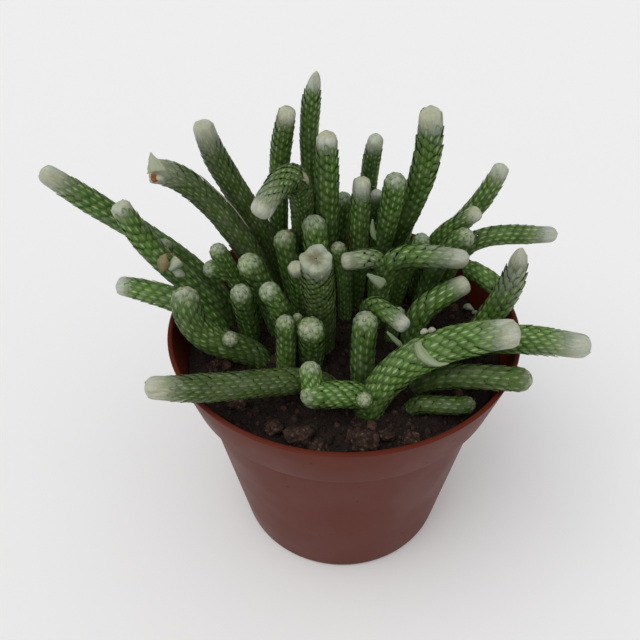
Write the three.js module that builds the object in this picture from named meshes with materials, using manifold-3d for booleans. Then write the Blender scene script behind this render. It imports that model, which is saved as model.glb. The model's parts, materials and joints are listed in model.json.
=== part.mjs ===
// A potted avonia papyracea: a plastic nursery pot, the soil in it, and the scaly stems that stand in the soil.
// Lengths are in millimetres and +Z is up. The pot stands on Z = 0 and its axis is the Z axis.
import * as THREE from "three";
import { mergeVertices } from "three/addons/utils/BufferGeometryUtils.js";
import Module from "manifold-3d";

const wasm = await Module();
wasm.setup();

// Pot: a thin tapered wall with a wider collar at the top
const POT = {
  height: 66,
  rimRadius: 42.5,
  collarHeight: 13.5,
  collarFootRadius: 39,
  wallTopRadius: 36.8,
  baseRadius: 28.8,
  thickness: 1.2,
  footRound: 0.8,
  sides: 40,
};
const DRAIN = { count: 4, radius: 3, ringRadius: 19, sides: 10 };

// Soil: it fills the pot up to the collar, and its top is lumpy
const CLEARANCE = 0.3;
const SOIL = { level: 58, sides: 40, rings: 5 };
const LUMPS = { count: 8, radius: 2.4, sunk: 0.45, keepClear: 1.5, seed: 7 };

// Stems: each is covered by scales in columns, one ring of scales set between those of the next
const FOOT_LEVEL = 52;
const SCALE = { columns: 5, pitch: 4, depth: 0.28, lean: 0.45, mostLean: 0.5 };
const ROOT = { plainLength: 7, share: 0.8 };
const CAP_SHARE = 1.3;

// Edges shorter than this are closed up where solids have been joined or cut
const SLIVER = 0.08;

// The shoots of each stem. A shoot is its foot, how far it first rises straight up, the point that
// bends it, its tip, its thickness and the form of its tip. A foot of [x, y] stands in the soil, and
// one of [x, y, z] starts inside the first shoot of its stem.
const STEMS = {
  stem_01: [
    [[-29, 14], 18, [-56, 18, 83], [-68, 12.5, 100], 6, "hood"],
    [[-45, 14.2, 75], 3, [-43.6, 13.2, 77.5], [-43.6, 13, 80.2], 4.4, "hood"],
  ],
  stem_02: [[[-29, 8], 15, [-44, 6, 73], [-50.5, 7, 94.5], 6, "hood"]],
  stem_03: [[[-29, -0.5], 18, [-40, -1, 74], [-54, 3, 74.5], 6, "hood"]],
  stem_04: [[[-17.5, 13], 18, [-32, 14, 100], [-42.5, 9.5, 101], 6.4, "cup"]],
  stem_05: [[[-15.5, 22], 25, [-30, 21.5, 91], [-32, 20.5, 107.5], 6.4, "hood"]],
  stem_06: [[[-10, 21], 30, [-6, 12, 112], [-18.5, -3, 96.5], 6.2, "hood"]],
  stem_07: [[[-5, 29], 20, [-10.5, 25.5, 97.5], [-5.5, 19, 119], 4.6, "point"]],
  stem_08: [[[-16.5, 28], 24, [-16, 26, 95], [-12, 18, 111], 5.2, "hood"]],
  stem_09: [[[-3.5, 18], 26, [-3.5, 17, 91], [-3.5, 12.5, 107.5], 6, "hood"]],
  stem_10: [[[-5, 8], 16, [-6, 9, 78], [-6.9, 9, 89], 6.2, "hood"]],
  stem_11: [[[-11, 11], 14, [-13, 12, 74], [-14.2, 12, 83], 6.2, "hood"]],
  stem_12: [
    [[-22, 8], 14, [-28, 8, 74], [-30, 6.5, 83], 4.6, "hood"],
    [[-26.5, 8, 71], 2, [-31, 8, 75.5], [-33.5, 6.5, 76.5], 5, "hood"],
  ],
  stem_13: [[[-16, 4], 14, [-20, 3, 76], [-22.5, 0.5, 83.5], 6.2, "hood"]],
  stem_14: [[[-23, 1], 14, [-24, -3, 72], [-23.5, -5, 79], 5.4, "hood"]],
  stem_15: [[[-12.8, -4.6], 14, [-14, -5.6, 74], [-17.5, -8.5, 82], 5.3, "hood"]],
  stem_16: [
    [[-19, -6], 16, [-38, -11, 60], [-36, -5, 79.5], 7.2, "hood"],
    [[-27, -8.4, 65], 2, [-26, -11, 68.6], [-26, -11.7, 70], 4.2, "hood"],
  ],
  stem_17: [
    [[-2, -15], 14, [-22, -29, 69], [-41, -31, 74.5], 6.2, "hood"],
    [[-16, -23, 65], 2, [-16, -24, 68], [-16, -24, 69.5], 3.6, "hood"],
  ],
  stem_18: [
    [[-14, -12], 12, [-13, -11, 69], [-13.5, -11, 75.5], 4.8, "hood"],
    [[-12.8, -10.9, 67], 2, [-10.9, -9.9, 71], [-10.5, -8.6, 74.4], 2.6, "hood"],
  ],
  stem_19: [[[-8, -8], 14, [-7, -12, 71], [-8, -14.5, 76], 6.4, "hood"]],
  stem_20: [
    [[4.6, -23.8], 13, [10.8, -21.3, 77.3], [35.8, -21.5, 79], 7.8, "hood"],
    [[4.6, -23.8, 58], 8, [0, -25.5, 65], [-10, -26, 66], 6.2, "hood"],
    [[-7, -25.6, 64.2], 2, [-8, -23, 68.4], [-8, -22, 72], 5.2, "hood"],
    [[4.2, -25.2, 62.6], 2, [3.4, -28.3, 65.6], [3.2, -28.3, 67.2], 3.8, "hood"],
  ],
  stem_21: [
    [[9, 6.5], 32, [10, 2, 83], [29.5, 3.5, 80], 5.8, "hood"],
    [[9, 6, 64], 20, [8, 1.5, 81.5], [-0.5, 2.5, 80.5], 5.4, "hood"],
  ],
  stem_22: [[[17, -1], 16, [17, -1, 69], [30, 2, 74.5], 6.2, "hood"]],
  stem_23: [
    [[32, 1], 11, [40.5, -1, 66.5], [39, -3, 87.5], 6.4, "point"],
    [[38.5, -1.5, 72.5], 1, [34, 5.5, 74.5], [31, 10.5, 72.5], 5, "hood"],
  ],
  stem_24: [[[27, 18], 30, [38.5, 18.5, 76.5], [55, 18, 77], 5.2, "hood"]],
  stem_25: [[[17.5, 23], 17, [34.5, 21, 76], [39, 21.5, 95], 5.2, "hood"]],
  stem_26: [[[20.5, 18], 23, [25, 16.5, 78.5], [33, 13.5, 87], 5, "hood"]],
  stem_27: [[[21, 13], 15, [24.5, 12, 78], [30.9, 9, 83.5], 5.6, "hood"]],
  stem_28: [[[11, 28], 18, [22.5, 17, 88], [18, 9, 114.2], 6.4, "hood"]],
  stem_29: [[[9, 20], 20, [12, 14, 84], [12, 10.5, 98.5], 5.6, "hood"]],
  stem_30: [[[7, 32], 24, [7, 27, 91], [8, 19.5, 103.5], 4.6, "hood"]],
  stem_31: [[[4, 15], 22, [4.5, 14, 86], [4.5, 12, 97], 5.2, "hood"]],
  stem_32: [[[5, 25], 18, [7, 20, 80], [9, 18.5, 90], 3.8, "hood"]],
  stem_33: [[[-2, 24], 16, [0.5, 25, 78], [1, 25, 86], 5.2, "hood"]],
  stem_34: [[[1, 9], 16, [1, 9, 74], [-1.5, 8.5, 81.7], 4.2, "hood"]],
  stem_35: [[[-5, -2], 20, [-6, -10, 82], [-6.2, -15.5, 94.5], 7.3, "cup"]],
  stem_36: [[[-10, 2], 16, [-10, 0, 76], [-11, -2.5, 83.5], 4.8, "hood"]],
  stem_37: [[[4, -14], 14, [4, -13, 71], [4.6, -13, 77.7], 6, "hood"]],
  stem_38: [[[6, -3.5], 24, [3.5, -7, 79], [13.5, -15, 75], 4.8, "hood"]],
  stem_39: [[[23, -8], 16, [35.5, -15, 73], [52.5, -20, 73], 6.8, "hood"]],
  stem_40: [[[16, -16], 12, [26, -26, 71], [38.5, -27, 70.5], 5.6, "hood"]],
  stem_41: [[[14, -22], 11, [20, -28, 62], [28, -25.5, 62], 4.4, "hood"]],
  stem_42: [[[12, 0], 12, [13, 1, 64], [14, 0, 68], 3.8, "hood"]],
  stem_43: [[[14, 13], 16, [18, 12, 76], [20, 11, 82], 4.5, "hood"]],
  stem_44: [[[-20, 25], 17, [-25.5, 31, 69], [-30.3, 33.5, 73.5], 4.8, "hood"]],
  stem_45: [[[16, 28.5], 14, [19, 35, 72], [22, 38, 78], 4.6, "hood"]],
  stem_46: [[[-8, 32], 19, [-5, 40, 73], [-8, 44.4, 75], 4.2, "hood"]],
};

// A shoot's last rings, from where its scales end to its tip: each is how far it lies from the tip
// and its radius, as shares of the shoot's radius. The last ring's centre closes the tip.
const TIPS = {
  hood: { rings: [[0.6, 0.95], [0.12, 0.58]], end: 0 },
  point: { rings: [[0.8, 0.6], [0.15, 0.25]], end: 0 },
  cup: { rings: [[0.2, 1.02], [0, 0.9], [0.3, 0.45]], end: 0.1 },
};

// Materials
const plastic = new THREE.MeshStandardMaterial({ color: 0x6b3f38, roughness: 0.45, metalness: 0 });
const earth = new THREE.MeshStandardMaterial({ color: 0x2e221c, roughness: 0.95, metalness: 0 });
const leaf = new THREE.MeshStandardMaterial({ color: 0x5f8a4a, roughness: 0.7, metalness: 0 });

// A closed geometry as a solid that can be joined and cut.
function toSolid(geometry) {
  const bare = new THREE.BufferGeometry();
  bare.setAttribute("position", geometry.getAttribute("position").clone());
  if (geometry.index) bare.setIndex(geometry.index.clone());
  const merged = mergeVertices(bare, 1e-4);
  const vertProperties = new Float32Array(merged.attributes.position.array);
  const triVerts = new Uint32Array(merged.index.array);
  return new wasm.Manifold(new wasm.Mesh({ numProp: 3, vertProperties, triVerts }));
}

function toGeometry(solid) {
  const mesh = solid.getMesh();
  const geometry = new THREE.BufferGeometry();
  geometry.setAttribute("position", new THREE.BufferAttribute(mesh.vertProperties, 3));
  geometry.setIndex(new THREE.BufferAttribute(mesh.triVerts, 1));
  geometry.computeVertexNormals();
  return geometry;
}

// The largest body of a solid, without the scraps, the sealed hollows and the hair-thin triangles
// that joining and cutting leave.
function mainBody(solid) {
  const largest = solid.decompose().reduce((a, b) => (a.volume() > b.volume() ? a : b));
  return largest.asOriginal().simplify(SLIVER);
}

// A turned solid from an outline of [radius, height] points that runs from the axis, outwards and
// up, and back to the axis.
function turned(outline, sides) {
  const points = outline.map(([radius, height]) => new THREE.Vector2(radius, height));
  return new THREE.LatheGeometry(points, sides).rotateX(Math.PI / 2);
}

function makePot() {
  const step = POT.height - POT.collarHeight;
  const t = POT.thickness;
  const outline = [
    [0, 0],
    [POT.baseRadius - POT.footRound, 0],
    [POT.baseRadius, POT.footRound],
    [POT.wallTopRadius, step],
    [POT.collarFootRadius, step],
    [POT.rimRadius, POT.height],
    [POT.rimRadius - t, POT.height],
    [POT.collarFootRadius - t, step + t],
    [POT.wallTopRadius - t, step + t],
    [POT.baseRadius - t, t],
    [0, t],
  ];
  let pot = toSolid(turned(outline, POT.sides));
  for (let i = 0; i < DRAIN.count; i++) {
    const turn = ((i + 0.5) / DRAIN.count) * 2 * Math.PI;
    const hole = new THREE.CylinderGeometry(DRAIN.radius, DRAIN.radius, 4 * t, DRAIN.sides);
    hole.rotateX(Math.PI / 2);
    hole.translate(DRAIN.ringRadius * Math.cos(turn), DRAIN.ringRadius * Math.sin(turn), 0);
    pot = pot.subtract(toSolid(hole));
  }
  return toGeometry(pot);
}

function soilHeight(x, y) {
  const broad = Math.sin(0.21 * x + 0.6) * Math.cos(0.19 * y - 0.4);
  const fine = Math.sin(0.83 * x - 0.41 * y) * Math.cos(0.37 * x + 0.78 * y + 1.1);
  return SOIL.level + 0.5 * broad + 0.6 * fine;
}

// Radius of the soil where it meets the inside of the collar at a height.
function collarInside(height) {
  const foot = POT.height - POT.collarHeight + POT.thickness;
  const share = (height - foot) / (POT.height - foot);
  const wall = THREE.MathUtils.lerp(POT.collarFootRadius, POT.rimRadius, share);
  return wall - POT.thickness - CLEARANCE;
}

function makeSoilBody() {
  const step = POT.height - POT.collarHeight + POT.thickness + CLEARANCE;
  const inset = POT.thickness + CLEARANCE;
  const edge = collarInside(SOIL.level - 1);
  const outline = [
    [0, inset],
    [POT.baseRadius - inset, inset],
    [POT.wallTopRadius - inset, step],
    [collarInside(step), step],
  ];
  for (let i = 0; i <= SOIL.rings; i++) outline.push([edge * (1 - i / SOIL.rings), SOIL.level]);
  const body = turned(outline, SOIL.sides);
  const position = body.getAttribute("position");
  for (let i = 0; i < position.count; i++) {
    if (position.getZ(i) < SOIL.level - 0.01) continue;
    position.setZ(i, soilHeight(position.getX(i), position.getY(i)));
  }
  return toSolid(body);
}

// Random numbers from 0 to 1 that are the same in every run.
function seededRandom(seed) {
  let state = seed;
  return () => {
    state = (state * 16807) % 2147483647;
    return state / 2147483647;
  };
}

// The centre line of a shoot.
function centreLine([foot, rise, bend, tip]) {
  const start = new THREE.Vector3(foot[0], foot[1], foot[2] ?? FOOT_LEVEL);
  const up = start.clone().add(new THREE.Vector3(0, 0, rise));
  return new THREE.CubicBezierCurve3(start, up, new THREE.Vector3(...bend), new THREE.Vector3(...tip));
}

// Radius of a shoot where its scales stand out most, at a share of its length.
function girth(radius, share, inSoil) {
  const root = inSoil ? ROOT.share : 1;
  const swell = THREE.MathUtils.smoothstep(share, 0, 0.4);
  return radius * THREE.MathUtils.lerp(root, 1, swell) * (1 - 0.06 * share);
}

// Distances along a shoot at which a ring of scales lies.
function scaleRings(length, start, radius) {
  const last = length - CAP_SHARE * radius;
  const count = Math.max(2, Math.round((last - start) / SCALE.pitch) + 1);
  return Array.from({ length: count }, (_, i) => start + ((last - start) * i) / (count - 1));
}

// A closed tube along a curve. Each ring is its distance along the curve and a function that gives
// a corner's lean along the curve and its distance out; first and last close the ends.
function makeTube(curve, rings, first, last, corners) {
  const length = curve.getLength();
  const steps = 200;
  const frames = curve.computeFrenetFrames(steps, false);
  const vertices = [];
  const place = (distance, [lean, out], corner) => {
    const share = THREE.MathUtils.clamp(distance / length, 0, 1);
    const frame = Math.round(share * steps);
    const turn = (corner / corners) * 2 * Math.PI;
    const point = curve.getPointAt(share);
    point.addScaledVector(frames.normals[frame], out * Math.cos(turn));
    point.addScaledVector(frames.binormals[frame], out * Math.sin(turn));
    point.addScaledVector(frames.tangents[frame], lean);
    vertices.push(point.x, point.y, point.z);
  };
  place(first.distance, [first.lean, 0], 0);
  for (const { distance, shape } of rings) {
    for (let corner = 0; corner < corners; corner++) place(distance, shape(corner), corner);
  }
  place(last.distance, [last.lean, 0], 0);
  return toSolid(skin(vertices, corners));
}

// Triangles over rings of corners, closed at both ends by a single point. Each quad between two
// rings is split between its valleys, so that four triangles meet in each raised point.
function skin(vertices, corners) {
  const last = vertices.length / 3 - 1;
  const rings = (last - 1) / corners;
  const at = (ring, corner) => 1 + ring * corners + (corner % corners);
  const index = [];
  for (let c = 0; c < corners; c++) {
    index.push(0, at(0, c + 1), at(0, c));
    index.push(last, at(rings - 1, c), at(rings - 1, c + 1));
    for (let r = 0; r < rings - 1; r++) {
      const [a, b, d, e] = [at(r, c), at(r, c + 1), at(r + 1, c), at(r + 1, c + 1)];
      if ((r + c) % 2) index.push(a, b, e, a, e, d);
      else index.push(a, b, d, b, e, d);
    }
  }
  const geometry = new THREE.BufferGeometry();
  geometry.setAttribute("position", new THREE.Float32BufferAttribute(vertices, 3));
  geometry.setIndex(index);
  return geometry;
}

const standsInSoil = ([foot]) => foot.length === 2;

// A shoot's corners are turn by turn a scale's raised point and the valley beside it. The next ring
// has them the other way round. Each raised point leans towards the tip, but never over the tip's
// own rings.
function makeShoot(shoot) {
  const curve = centreLine(shoot);
  const [, , , , thickness, tip] = shoot;
  const inSoil = standsInSoil(shoot);
  const radius = thickness / 2;
  const length = curve.getLength();
  const plainEnd = inSoil ? ROOT.plainLength : 0.35 * length;
  const plain = () => [0, radius * ROOT.share];
  const rings = [{ distance: 0, shape: plain }];
  if (inSoil) rings.push({ distance: plainEnd - 1, shape: plain });
  const distances = scaleRings(length, plainEnd, radius);
  const lean = Math.min(SCALE.lean * (distances[1] - distances[0]), SCALE.mostLean * radius);
  for (const distance of distances) {
    const out = girth(radius, distance / length, inSoil);
    const odd = rings.length % 2;
    const shape = (corner) => ((odd + corner) % 2 ? [lean, out] : [0, out - SCALE.depth * radius]);
    rings.push({ distance, shape });
  }
  for (const [back, share] of TIPS[tip].rings) {
    rings.push({ distance: length - back * radius, shape: () => [0, radius * share] });
  }
  const last = { distance: length - TIPS[tip].end * radius, lean: 0 };
  return makeTube(curve, rings, { distance: 0, lean: 0 }, last, 2 * SCALE.columns);
}

// The plain hole that a shoot stands in, a little wider than the shoot.
function makeHole(shoot) {
  const corners = 6;
  const radius = shoot[4] / 2;
  const wide = (share) => (radius * share + CLEARANCE) / Math.cos(Math.PI / corners);
  const rings = [
    { distance: 0, shape: () => [-CLEARANCE, wide(ROOT.share)] },
    { distance: ROOT.plainLength, shape: () => [0, wide(1)] },
    { distance: 2 * ROOT.plainLength, shape: () => [0, wide(1)] },
  ];
  const first = { distance: 0, lean: -CLEARANCE };
  const last = { distance: 2 * ROOT.plainLength, lean: 0 };
  return makeTube(centreLine(shoot), rings, first, last, corners);
}

function makeSoil() {
  let soil = makeSoilBody();
  const random = seededRandom(LUMPS.seed);
  const shoots = Object.values(STEMS).flat().filter(standsInSoil);
  const reach = collarInside(SOIL.level);
  for (let made = 0; made < LUMPS.count; ) {
    const [x, y] = [(2 * random() - 1) * reach, (2 * random() - 1) * reach];
    const size = LUMPS.radius * (0.7 + 0.5 * random());
    const turn = 2 * Math.PI * random();
    const gap = size + LUMPS.keepClear;
    const crowded = shoots.some(
      ([foot, , , , thickness]) => Math.hypot(x - foot[0], y - foot[1]) < gap + thickness / 2,
    );
    if (crowded || Math.hypot(x, y) > reach - gap) continue;
    const lump = new THREE.IcosahedronGeometry(size, 0).rotateX(turn).rotateZ(2 * turn);
    lump.translate(x, y, soilHeight(x, y) - LUMPS.sunk * size);
    soil = soil.add(toSolid(lump));
    made++;
  }
  for (const shoot of shoots) soil = soil.subtract(makeHole(shoot));
  return toGeometry(mainBody(soil));
}

function addMesh(group, name, geometry, material) {
  const mesh = new THREE.Mesh(geometry, material);
  mesh.name = name;
  group.add(mesh);
}

const plant = new THREE.Group();
addMesh(plant, "pot", makePot(), plastic);
addMesh(plant, "soil", makeSoil(), earth);
for (const [name, shoots] of Object.entries(STEMS)) {
  const solid = shoots.map(makeShoot).reduce((a, b) => a.add(b));
  addMesh(plant, name, toGeometry(mainBody(solid)), leaf);
}

export default plant;
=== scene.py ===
# %% [markdown]
# # A potted avonia papyracea
# This lesson dresses a small succulent in its nursery pot. The packed CAD model is the frame: it says
# where the pot, the soil and each stem are, and every piece made here lies in the same place.
# The stems are the main thing. Each one is a bent rod under a tight spiral of small overlapping
# scales. The older ones end in a papery, whitish hood, the young ones in a scaly dome. The order is
# camera, helpers and light, then the pot, the soil, the stems, and last the loose bits of paper.

# %% Load the frame
import json
import math

import bmesh
import bpy
import numpy as np
from mathutils import Matrix, Vector, noise

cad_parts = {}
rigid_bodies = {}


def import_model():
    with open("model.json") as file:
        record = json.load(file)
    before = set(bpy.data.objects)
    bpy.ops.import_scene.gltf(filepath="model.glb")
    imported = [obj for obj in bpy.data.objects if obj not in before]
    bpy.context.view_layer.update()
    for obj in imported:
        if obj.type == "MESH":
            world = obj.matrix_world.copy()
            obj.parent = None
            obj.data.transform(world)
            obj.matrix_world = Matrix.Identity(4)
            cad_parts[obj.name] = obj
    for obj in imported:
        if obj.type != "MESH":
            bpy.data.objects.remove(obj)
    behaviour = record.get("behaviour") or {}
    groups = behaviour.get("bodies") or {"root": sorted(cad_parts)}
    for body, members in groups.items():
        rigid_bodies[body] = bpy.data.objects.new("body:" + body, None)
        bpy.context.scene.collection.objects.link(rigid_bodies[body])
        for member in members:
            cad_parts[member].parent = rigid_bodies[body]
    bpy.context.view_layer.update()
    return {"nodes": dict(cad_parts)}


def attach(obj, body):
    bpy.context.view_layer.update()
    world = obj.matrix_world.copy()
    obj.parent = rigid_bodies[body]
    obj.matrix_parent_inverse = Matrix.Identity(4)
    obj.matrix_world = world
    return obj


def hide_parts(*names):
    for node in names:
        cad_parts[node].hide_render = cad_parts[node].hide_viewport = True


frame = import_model()
scene = bpy.context.scene
MM = 0.001
print("CAD nodes:", len(frame["nodes"]))

# %% [markdown]
# ## Camera
# The picture was taken from close by and from above, looking down by some forty degrees, with the
# camera rolled a little. A constraint could aim the camera, but it would keep it level. Three
# directions of unit length (right, up and back) describe the view completely, and they become the
# columns of the camera's matrix. A focal length is easier to judge in pixels of the picture, so it is
# turned into millimetres on a 36 mm sensor.

# %% Camera
PICTURE = 640
FOCAL_PIXELS = 660
ELEVATION = math.radians(40.4)
ROLL = math.radians(-0.88)
# In mm: the point at the middle of the pot's rim, how far off the camera is, and how far it is moved
# to the right and up from there
AIM = Vector((0, 0, 66))
EYE_DISTANCE = 161.4
AIM_SHIFT = (-5.6, -0.85)

back = Vector((0, -math.cos(ELEVATION), math.sin(ELEVATION)))
level_up = Vector((0, math.sin(ELEVATION), math.cos(ELEVATION)))
right = math.cos(ROLL) * Vector((1, 0, 0)) + math.sin(ROLL) * level_up
up = math.cos(ROLL) * level_up - math.sin(ROLL) * Vector((1, 0, 0))
eye = AIM + AIM_SHIFT[0] * right + AIM_SHIFT[1] * up + EYE_DISTANCE * back

camera = bpy.data.objects.new("camera", bpy.data.cameras.new("camera"))
scene.collection.objects.link(camera)
camera.data.sensor_width = 36
camera.data.lens = FOCAL_PIXELS / PICTURE * camera.data.sensor_width
camera.data.clip_start = 0.005
axes = Matrix((right, up, back)).transposed()
camera.matrix_world = Matrix.Translation(eye * MM) @ axes.to_4x4()
scene.camera = camera
print("camera at", [round(c, 1) for c in eye], "mm, lens", camera.data.lens)

# %% [markdown]
# ## Maths on sockets
# Materials and shapes here are trees of nodes. Wired one by one, they hide the thought behind them.
# So one small class wraps a socket: adding or multiplying two of them adds the Math node for it, and
# a formula in the script reads like a formula.

# %% Maths on sockets
class Socket:
    """An output of a node, with Python's operators for maths on it."""

    def __init__(self, nodes, socket):
        self.nodes, self.socket = nodes, socket

    def math(self, operation, *others):
        """A Math node on this value and others."""
        values = dict(enumerate((self, *others)))
        return self.nodes.add("ShaderNodeMath", {"operation": operation}, values)

    def __add__(self, other):
        return self.math("ADD", other)

    __radd__ = __add__

    def __mul__(self, other):
        return self.math("MULTIPLY", other)

    __rmul__ = __mul__

    def __sub__(self, other):
        return self.math("SUBTRACT", other)

    def __rsub__(self, other):
        return (self * -1) + other

    def __truediv__(self, other):
        return self.math("DIVIDE", other)

    def __pow__(self, other):
        return self.math("POWER", other)

    def ramp(self, start, end, low=0.0, high=1.0, kind="SMOOTHSTEP"):
        """Goes from low to high while this value goes from start to end, and stays there outside."""
        settings = {"interpolation_type": kind}
        values = {0: self, 1: start, 2: end, 3: low, 4: high}
        return self.nodes.add("ShaderNodeMapRange", settings, values)

    def output(self, name):
        """Another output of the same node."""
        return Socket(self.nodes, self.socket.node.outputs[name])


print("maths on sockets:", ", ".join(name for name in vars(Socket) if not name.startswith("__")))

# %% [markdown]
# ## Any other node
# Most nodes aren't maths. They all come from one method, which takes a node's type, then its settings,
# such as its operation or a ramp's colours, and then what goes into its sockets. Settings are made
# first, because they decide which sockets are in use. Mixing colours has two short forms of its own.

# %% Any other node
class Nodes:
    """Adds nodes to a tree."""

    def __init__(self, tree):
        self.tree = tree

    def add(self, kind, settings=None, values=None):
        """Adds a node and returns its first output, or the node itself where it has none."""
        node = self.tree.nodes.new(kind)
        for name, setting in (settings or {}).items():
            if name == "stops":
                self.set_stops(node.color_ramp, setting)
            else:
                setattr(node, name, setting)
        for key, value in (values or {}).items():
            self.feed(node, key, value)
        shown = [s for s in node.outputs if s.enabled]
        return Socket(self, shown[0]) if shown else node

    def feed(self, node, key, value):
        """Sets or links an input, which is given by its name or by its number among those in use."""
        shown = [s for s in node.inputs if s.enabled]
        socket = shown[key] if isinstance(key, int) else next(s for s in shown if s.name == key)
        for one in value if isinstance(value, list) else [value]:
            if isinstance(one, Socket):
                self.tree.links.new(one.socket, socket)
            else:
                socket.default_value = one

    def set_stops(self, color_ramp, stops):
        """Gives a colour ramp its places and colours."""
        while len(color_ramp.elements) < len(stops):
            color_ramp.elements.new(1)
        for element, (place, colour) in zip(color_ramp.elements, stops):
            element.position, element.color = place, (*colour, 1)

    def mix(self, share, a, b):
        """A colour between two colours."""
        a, b = (c if isinstance(c, Socket) else (*c, 1) for c in (a, b))
        return self.add("ShaderNodeMix", {"data_type": "RGBA"}, {"Factor": share, "A": a, "B": b})

    def tinted(self, colour, by):
        """A colour made darker or lighter: by is a value round 1."""
        colour = colour if isinstance(colour, Socket) else (*colour, 1)
        grey = self.add("ShaderNodeCombineColor", {}, {0: by, 1: by, 2: by})
        settings = {"data_type": "RGBA", "blend_type": "MULTIPLY"}
        return self.add("ShaderNodeMix", settings, {"Factor": 1.0, "A": colour, "B": grey})

print("helpers of a tree:", ", ".join(name for name in vars(Nodes) if not name.startswith("__")))

# %% [markdown]
# ## Floor and light
# The plant stands on a plain pale floor in soft light. A bright, even sky fills the shadows, and two
# very wide suns, one from the left and one from the front, give the stems their lighter tops. A sun
# lights the whole floor evenly, which a lamp that stands near doesn't. The picture's colours are read
# as they are, without a film-like tone curve, so the view transform is the plain one.

# %% Floor, sky and lamps
FLOOR_REACH = 3.0
FLOOR_COLOUR = (0.93, 0.93, 0.93)
SKY_STRENGTH = 0.55
LAMPS = {
    # from where it shines (azimuth from +X, elevation), how wide it is, and how bright
    "key_lamp": {"from": (215, 58), "spread": 50, "strength": 1.0},
    "fill_lamp": {"from": (300, 50), "spread": 80, "strength": 0.4},
}


def new_material(name, settings):
    """A material with the constants of its shader set, and the helpers to add its nodes."""
    material = bpy.data.materials.new(name)
    material.use_nodes = True
    shader = material.node_tree.nodes["Principled BSDF"]
    for key, value in settings.items():
        shader.inputs[key].default_value = value
    return material, shader, Nodes(material.node_tree)


def link_object(name, mesh):
    """A new object with this mesh, shown in the scene."""
    piece = bpy.data.objects.new(name, mesh)
    scene.collection.objects.link(piece)
    return piece


floor_mesh = bpy.data.meshes.new("floor")
corners = [(x * FLOOR_REACH, y * FLOOR_REACH, 0) for x, y in ((-1, -1), (1, -1), (1, 1), (-1, 1))]
floor_mesh.from_pydata(corners, [], [(0, 1, 2, 3)])
floor = link_object("floor", floor_mesh)
matt = {"Base Color": (*FLOOR_COLOUR, 1), "Roughness": 1.0, "Specular IOR Level": 0.0}
floor_paint, _, _ = new_material("floor paint", matt)
floor_mesh.materials.append(floor_paint)

world = bpy.data.worlds.new("studio")
world.use_nodes = True
sky = world.node_tree.nodes["Background"]
sky.inputs["Color"].default_value = (1, 1, 1, 1)
sky.inputs["Strength"].default_value = SKY_STRENGTH
scene.world = world

for name, lamp in LAMPS.items():
    light = bpy.data.lights.new(name, "SUN")
    light.energy, light.angle = lamp["strength"], math.radians(lamp["spread"])
    holder = bpy.data.objects.new(name, light)
    scene.collection.objects.link(holder)
    around, above = (math.radians(a) for a in lamp["from"])
    flat = math.cos(above)
    source = Vector((flat * math.cos(around), flat * math.sin(around), math.sin(above)))
    holder.rotation_euler = source.to_track_quat("Z", "Y").to_euler()
scene.view_settings.view_transform = "Standard"
print("floor and", len(LAMPS), "lamps")

# %% [markdown]
# ## Moulded plastic
# A nursery pot is injection moulded from thin, dyed plastic: brown-red all through, satin rather than
# shiny, with a faint cloudiness where handling has dulled it and a few specks of dried soil. Two
# noises of different sizes give the clouds, and a third one with a high threshold gives the specks.
# A painted map could do this too, but noises need no unwrapping: they read Object coordinates, so
# that they keep their size on the pot.

# %% Pot plastic
def srgb(red, green, blue):
    """A colour as it is seen on a screen, from 0 to 255, turned into light."""
    shares = [c / 255 for c in (red, green, blue)]
    return tuple(c / 12.92 if c <= 0.04045 else ((c + 0.055) / 1.055) ** 2.4 for c in shares)


POT_COLOUR = srgb(91, 36, 23)
POT_DUSTY = srgb(102, 53, 41)
POT_SPECK = srgb(48, 28, 22)

plastic, shader, nodes = new_material("brown-red plastic", {"Specular IOR Level": 0.08, "IOR": 1.49})
place = nodes.add("ShaderNodeTexCoord").output("Object")
clouds = nodes.add("ShaderNodeTexNoise", {}, {"Vector": place, "Scale": 55.0, "Detail": 3.0})
values = {"Vector": place, "Scale": (1, 1, 0.12)}
streaks = nodes.add("ShaderNodeMapping", {"vector_type": "POINT"}, values)
streaks = nodes.add("ShaderNodeTexNoise", {}, {"Vector": streaks, "Scale": 420.0, "Detail": 2.0})
grain = nodes.add("ShaderNodeTexNoise", {}, {"Vector": place, "Scale": 2600.0, "Detail": 2.0})
specks = nodes.add("ShaderNodeTexNoise", {}, {"Vector": place, "Scale": 700.0, "Detail": 1.0})
specks = specks.ramp(0.75, 0.82)
dust = clouds.ramp(0.42, 0.74) * 0.38 + streaks.ramp(0.5, 0.8) * 0.12
colour = nodes.mix(specks * 0.4, nodes.mix(dust, POT_COLOUR, POT_DUSTY), POT_SPECK)
nodes.feed(shader, "Base Color", colour)
nodes.feed(shader, "Roughness", clouds.ramp(0.3, 0.7, 0.36, 0.48) + specks * 0.3)
values = {"Strength": 0.12, "Distance": 0.0001, "Height": grain + streaks * 0.6}
relief = nodes.add("ShaderNodeBump", {}, values)
nodes.feed(shader, "Normal", relief)
print("material:", plastic.name)

# %% [markdown]
# ## Pot
# The pot is a body of revolution. It could be pulled from a cylinder with loop cuts and bevels, but
# an outline is easier to measure: it is drawn once, as radius and height, and turned round the axis.
# Real mouldings have no sharp corners, so a small arc takes the place of each corner of the outline.

# %% Pot
POT_SIDES = 144
POT_OUTLINE = [
    # radius and height in mm, and how far from the corner its arc starts and ends
    (0, 0.6, 0),
    (24.5, 0.6, 0.4),
    (25.3, 0, 0.3),
    (28.0, 0, 0.7),
    (28.8, 0.8, 0.6),
    (36.8, 52.5, 0.5),
    (39.0, 52.5, 0.6),
    (42.5, 66.0, 0.45),
    (41.3, 66.0, 0.45),
    (37.8, 53.7, 0.6),
    (35.6, 53.7, 0.6),
    (27.6, 1.8, 0.8),
    (0, 1.8, 0),
]


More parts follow.
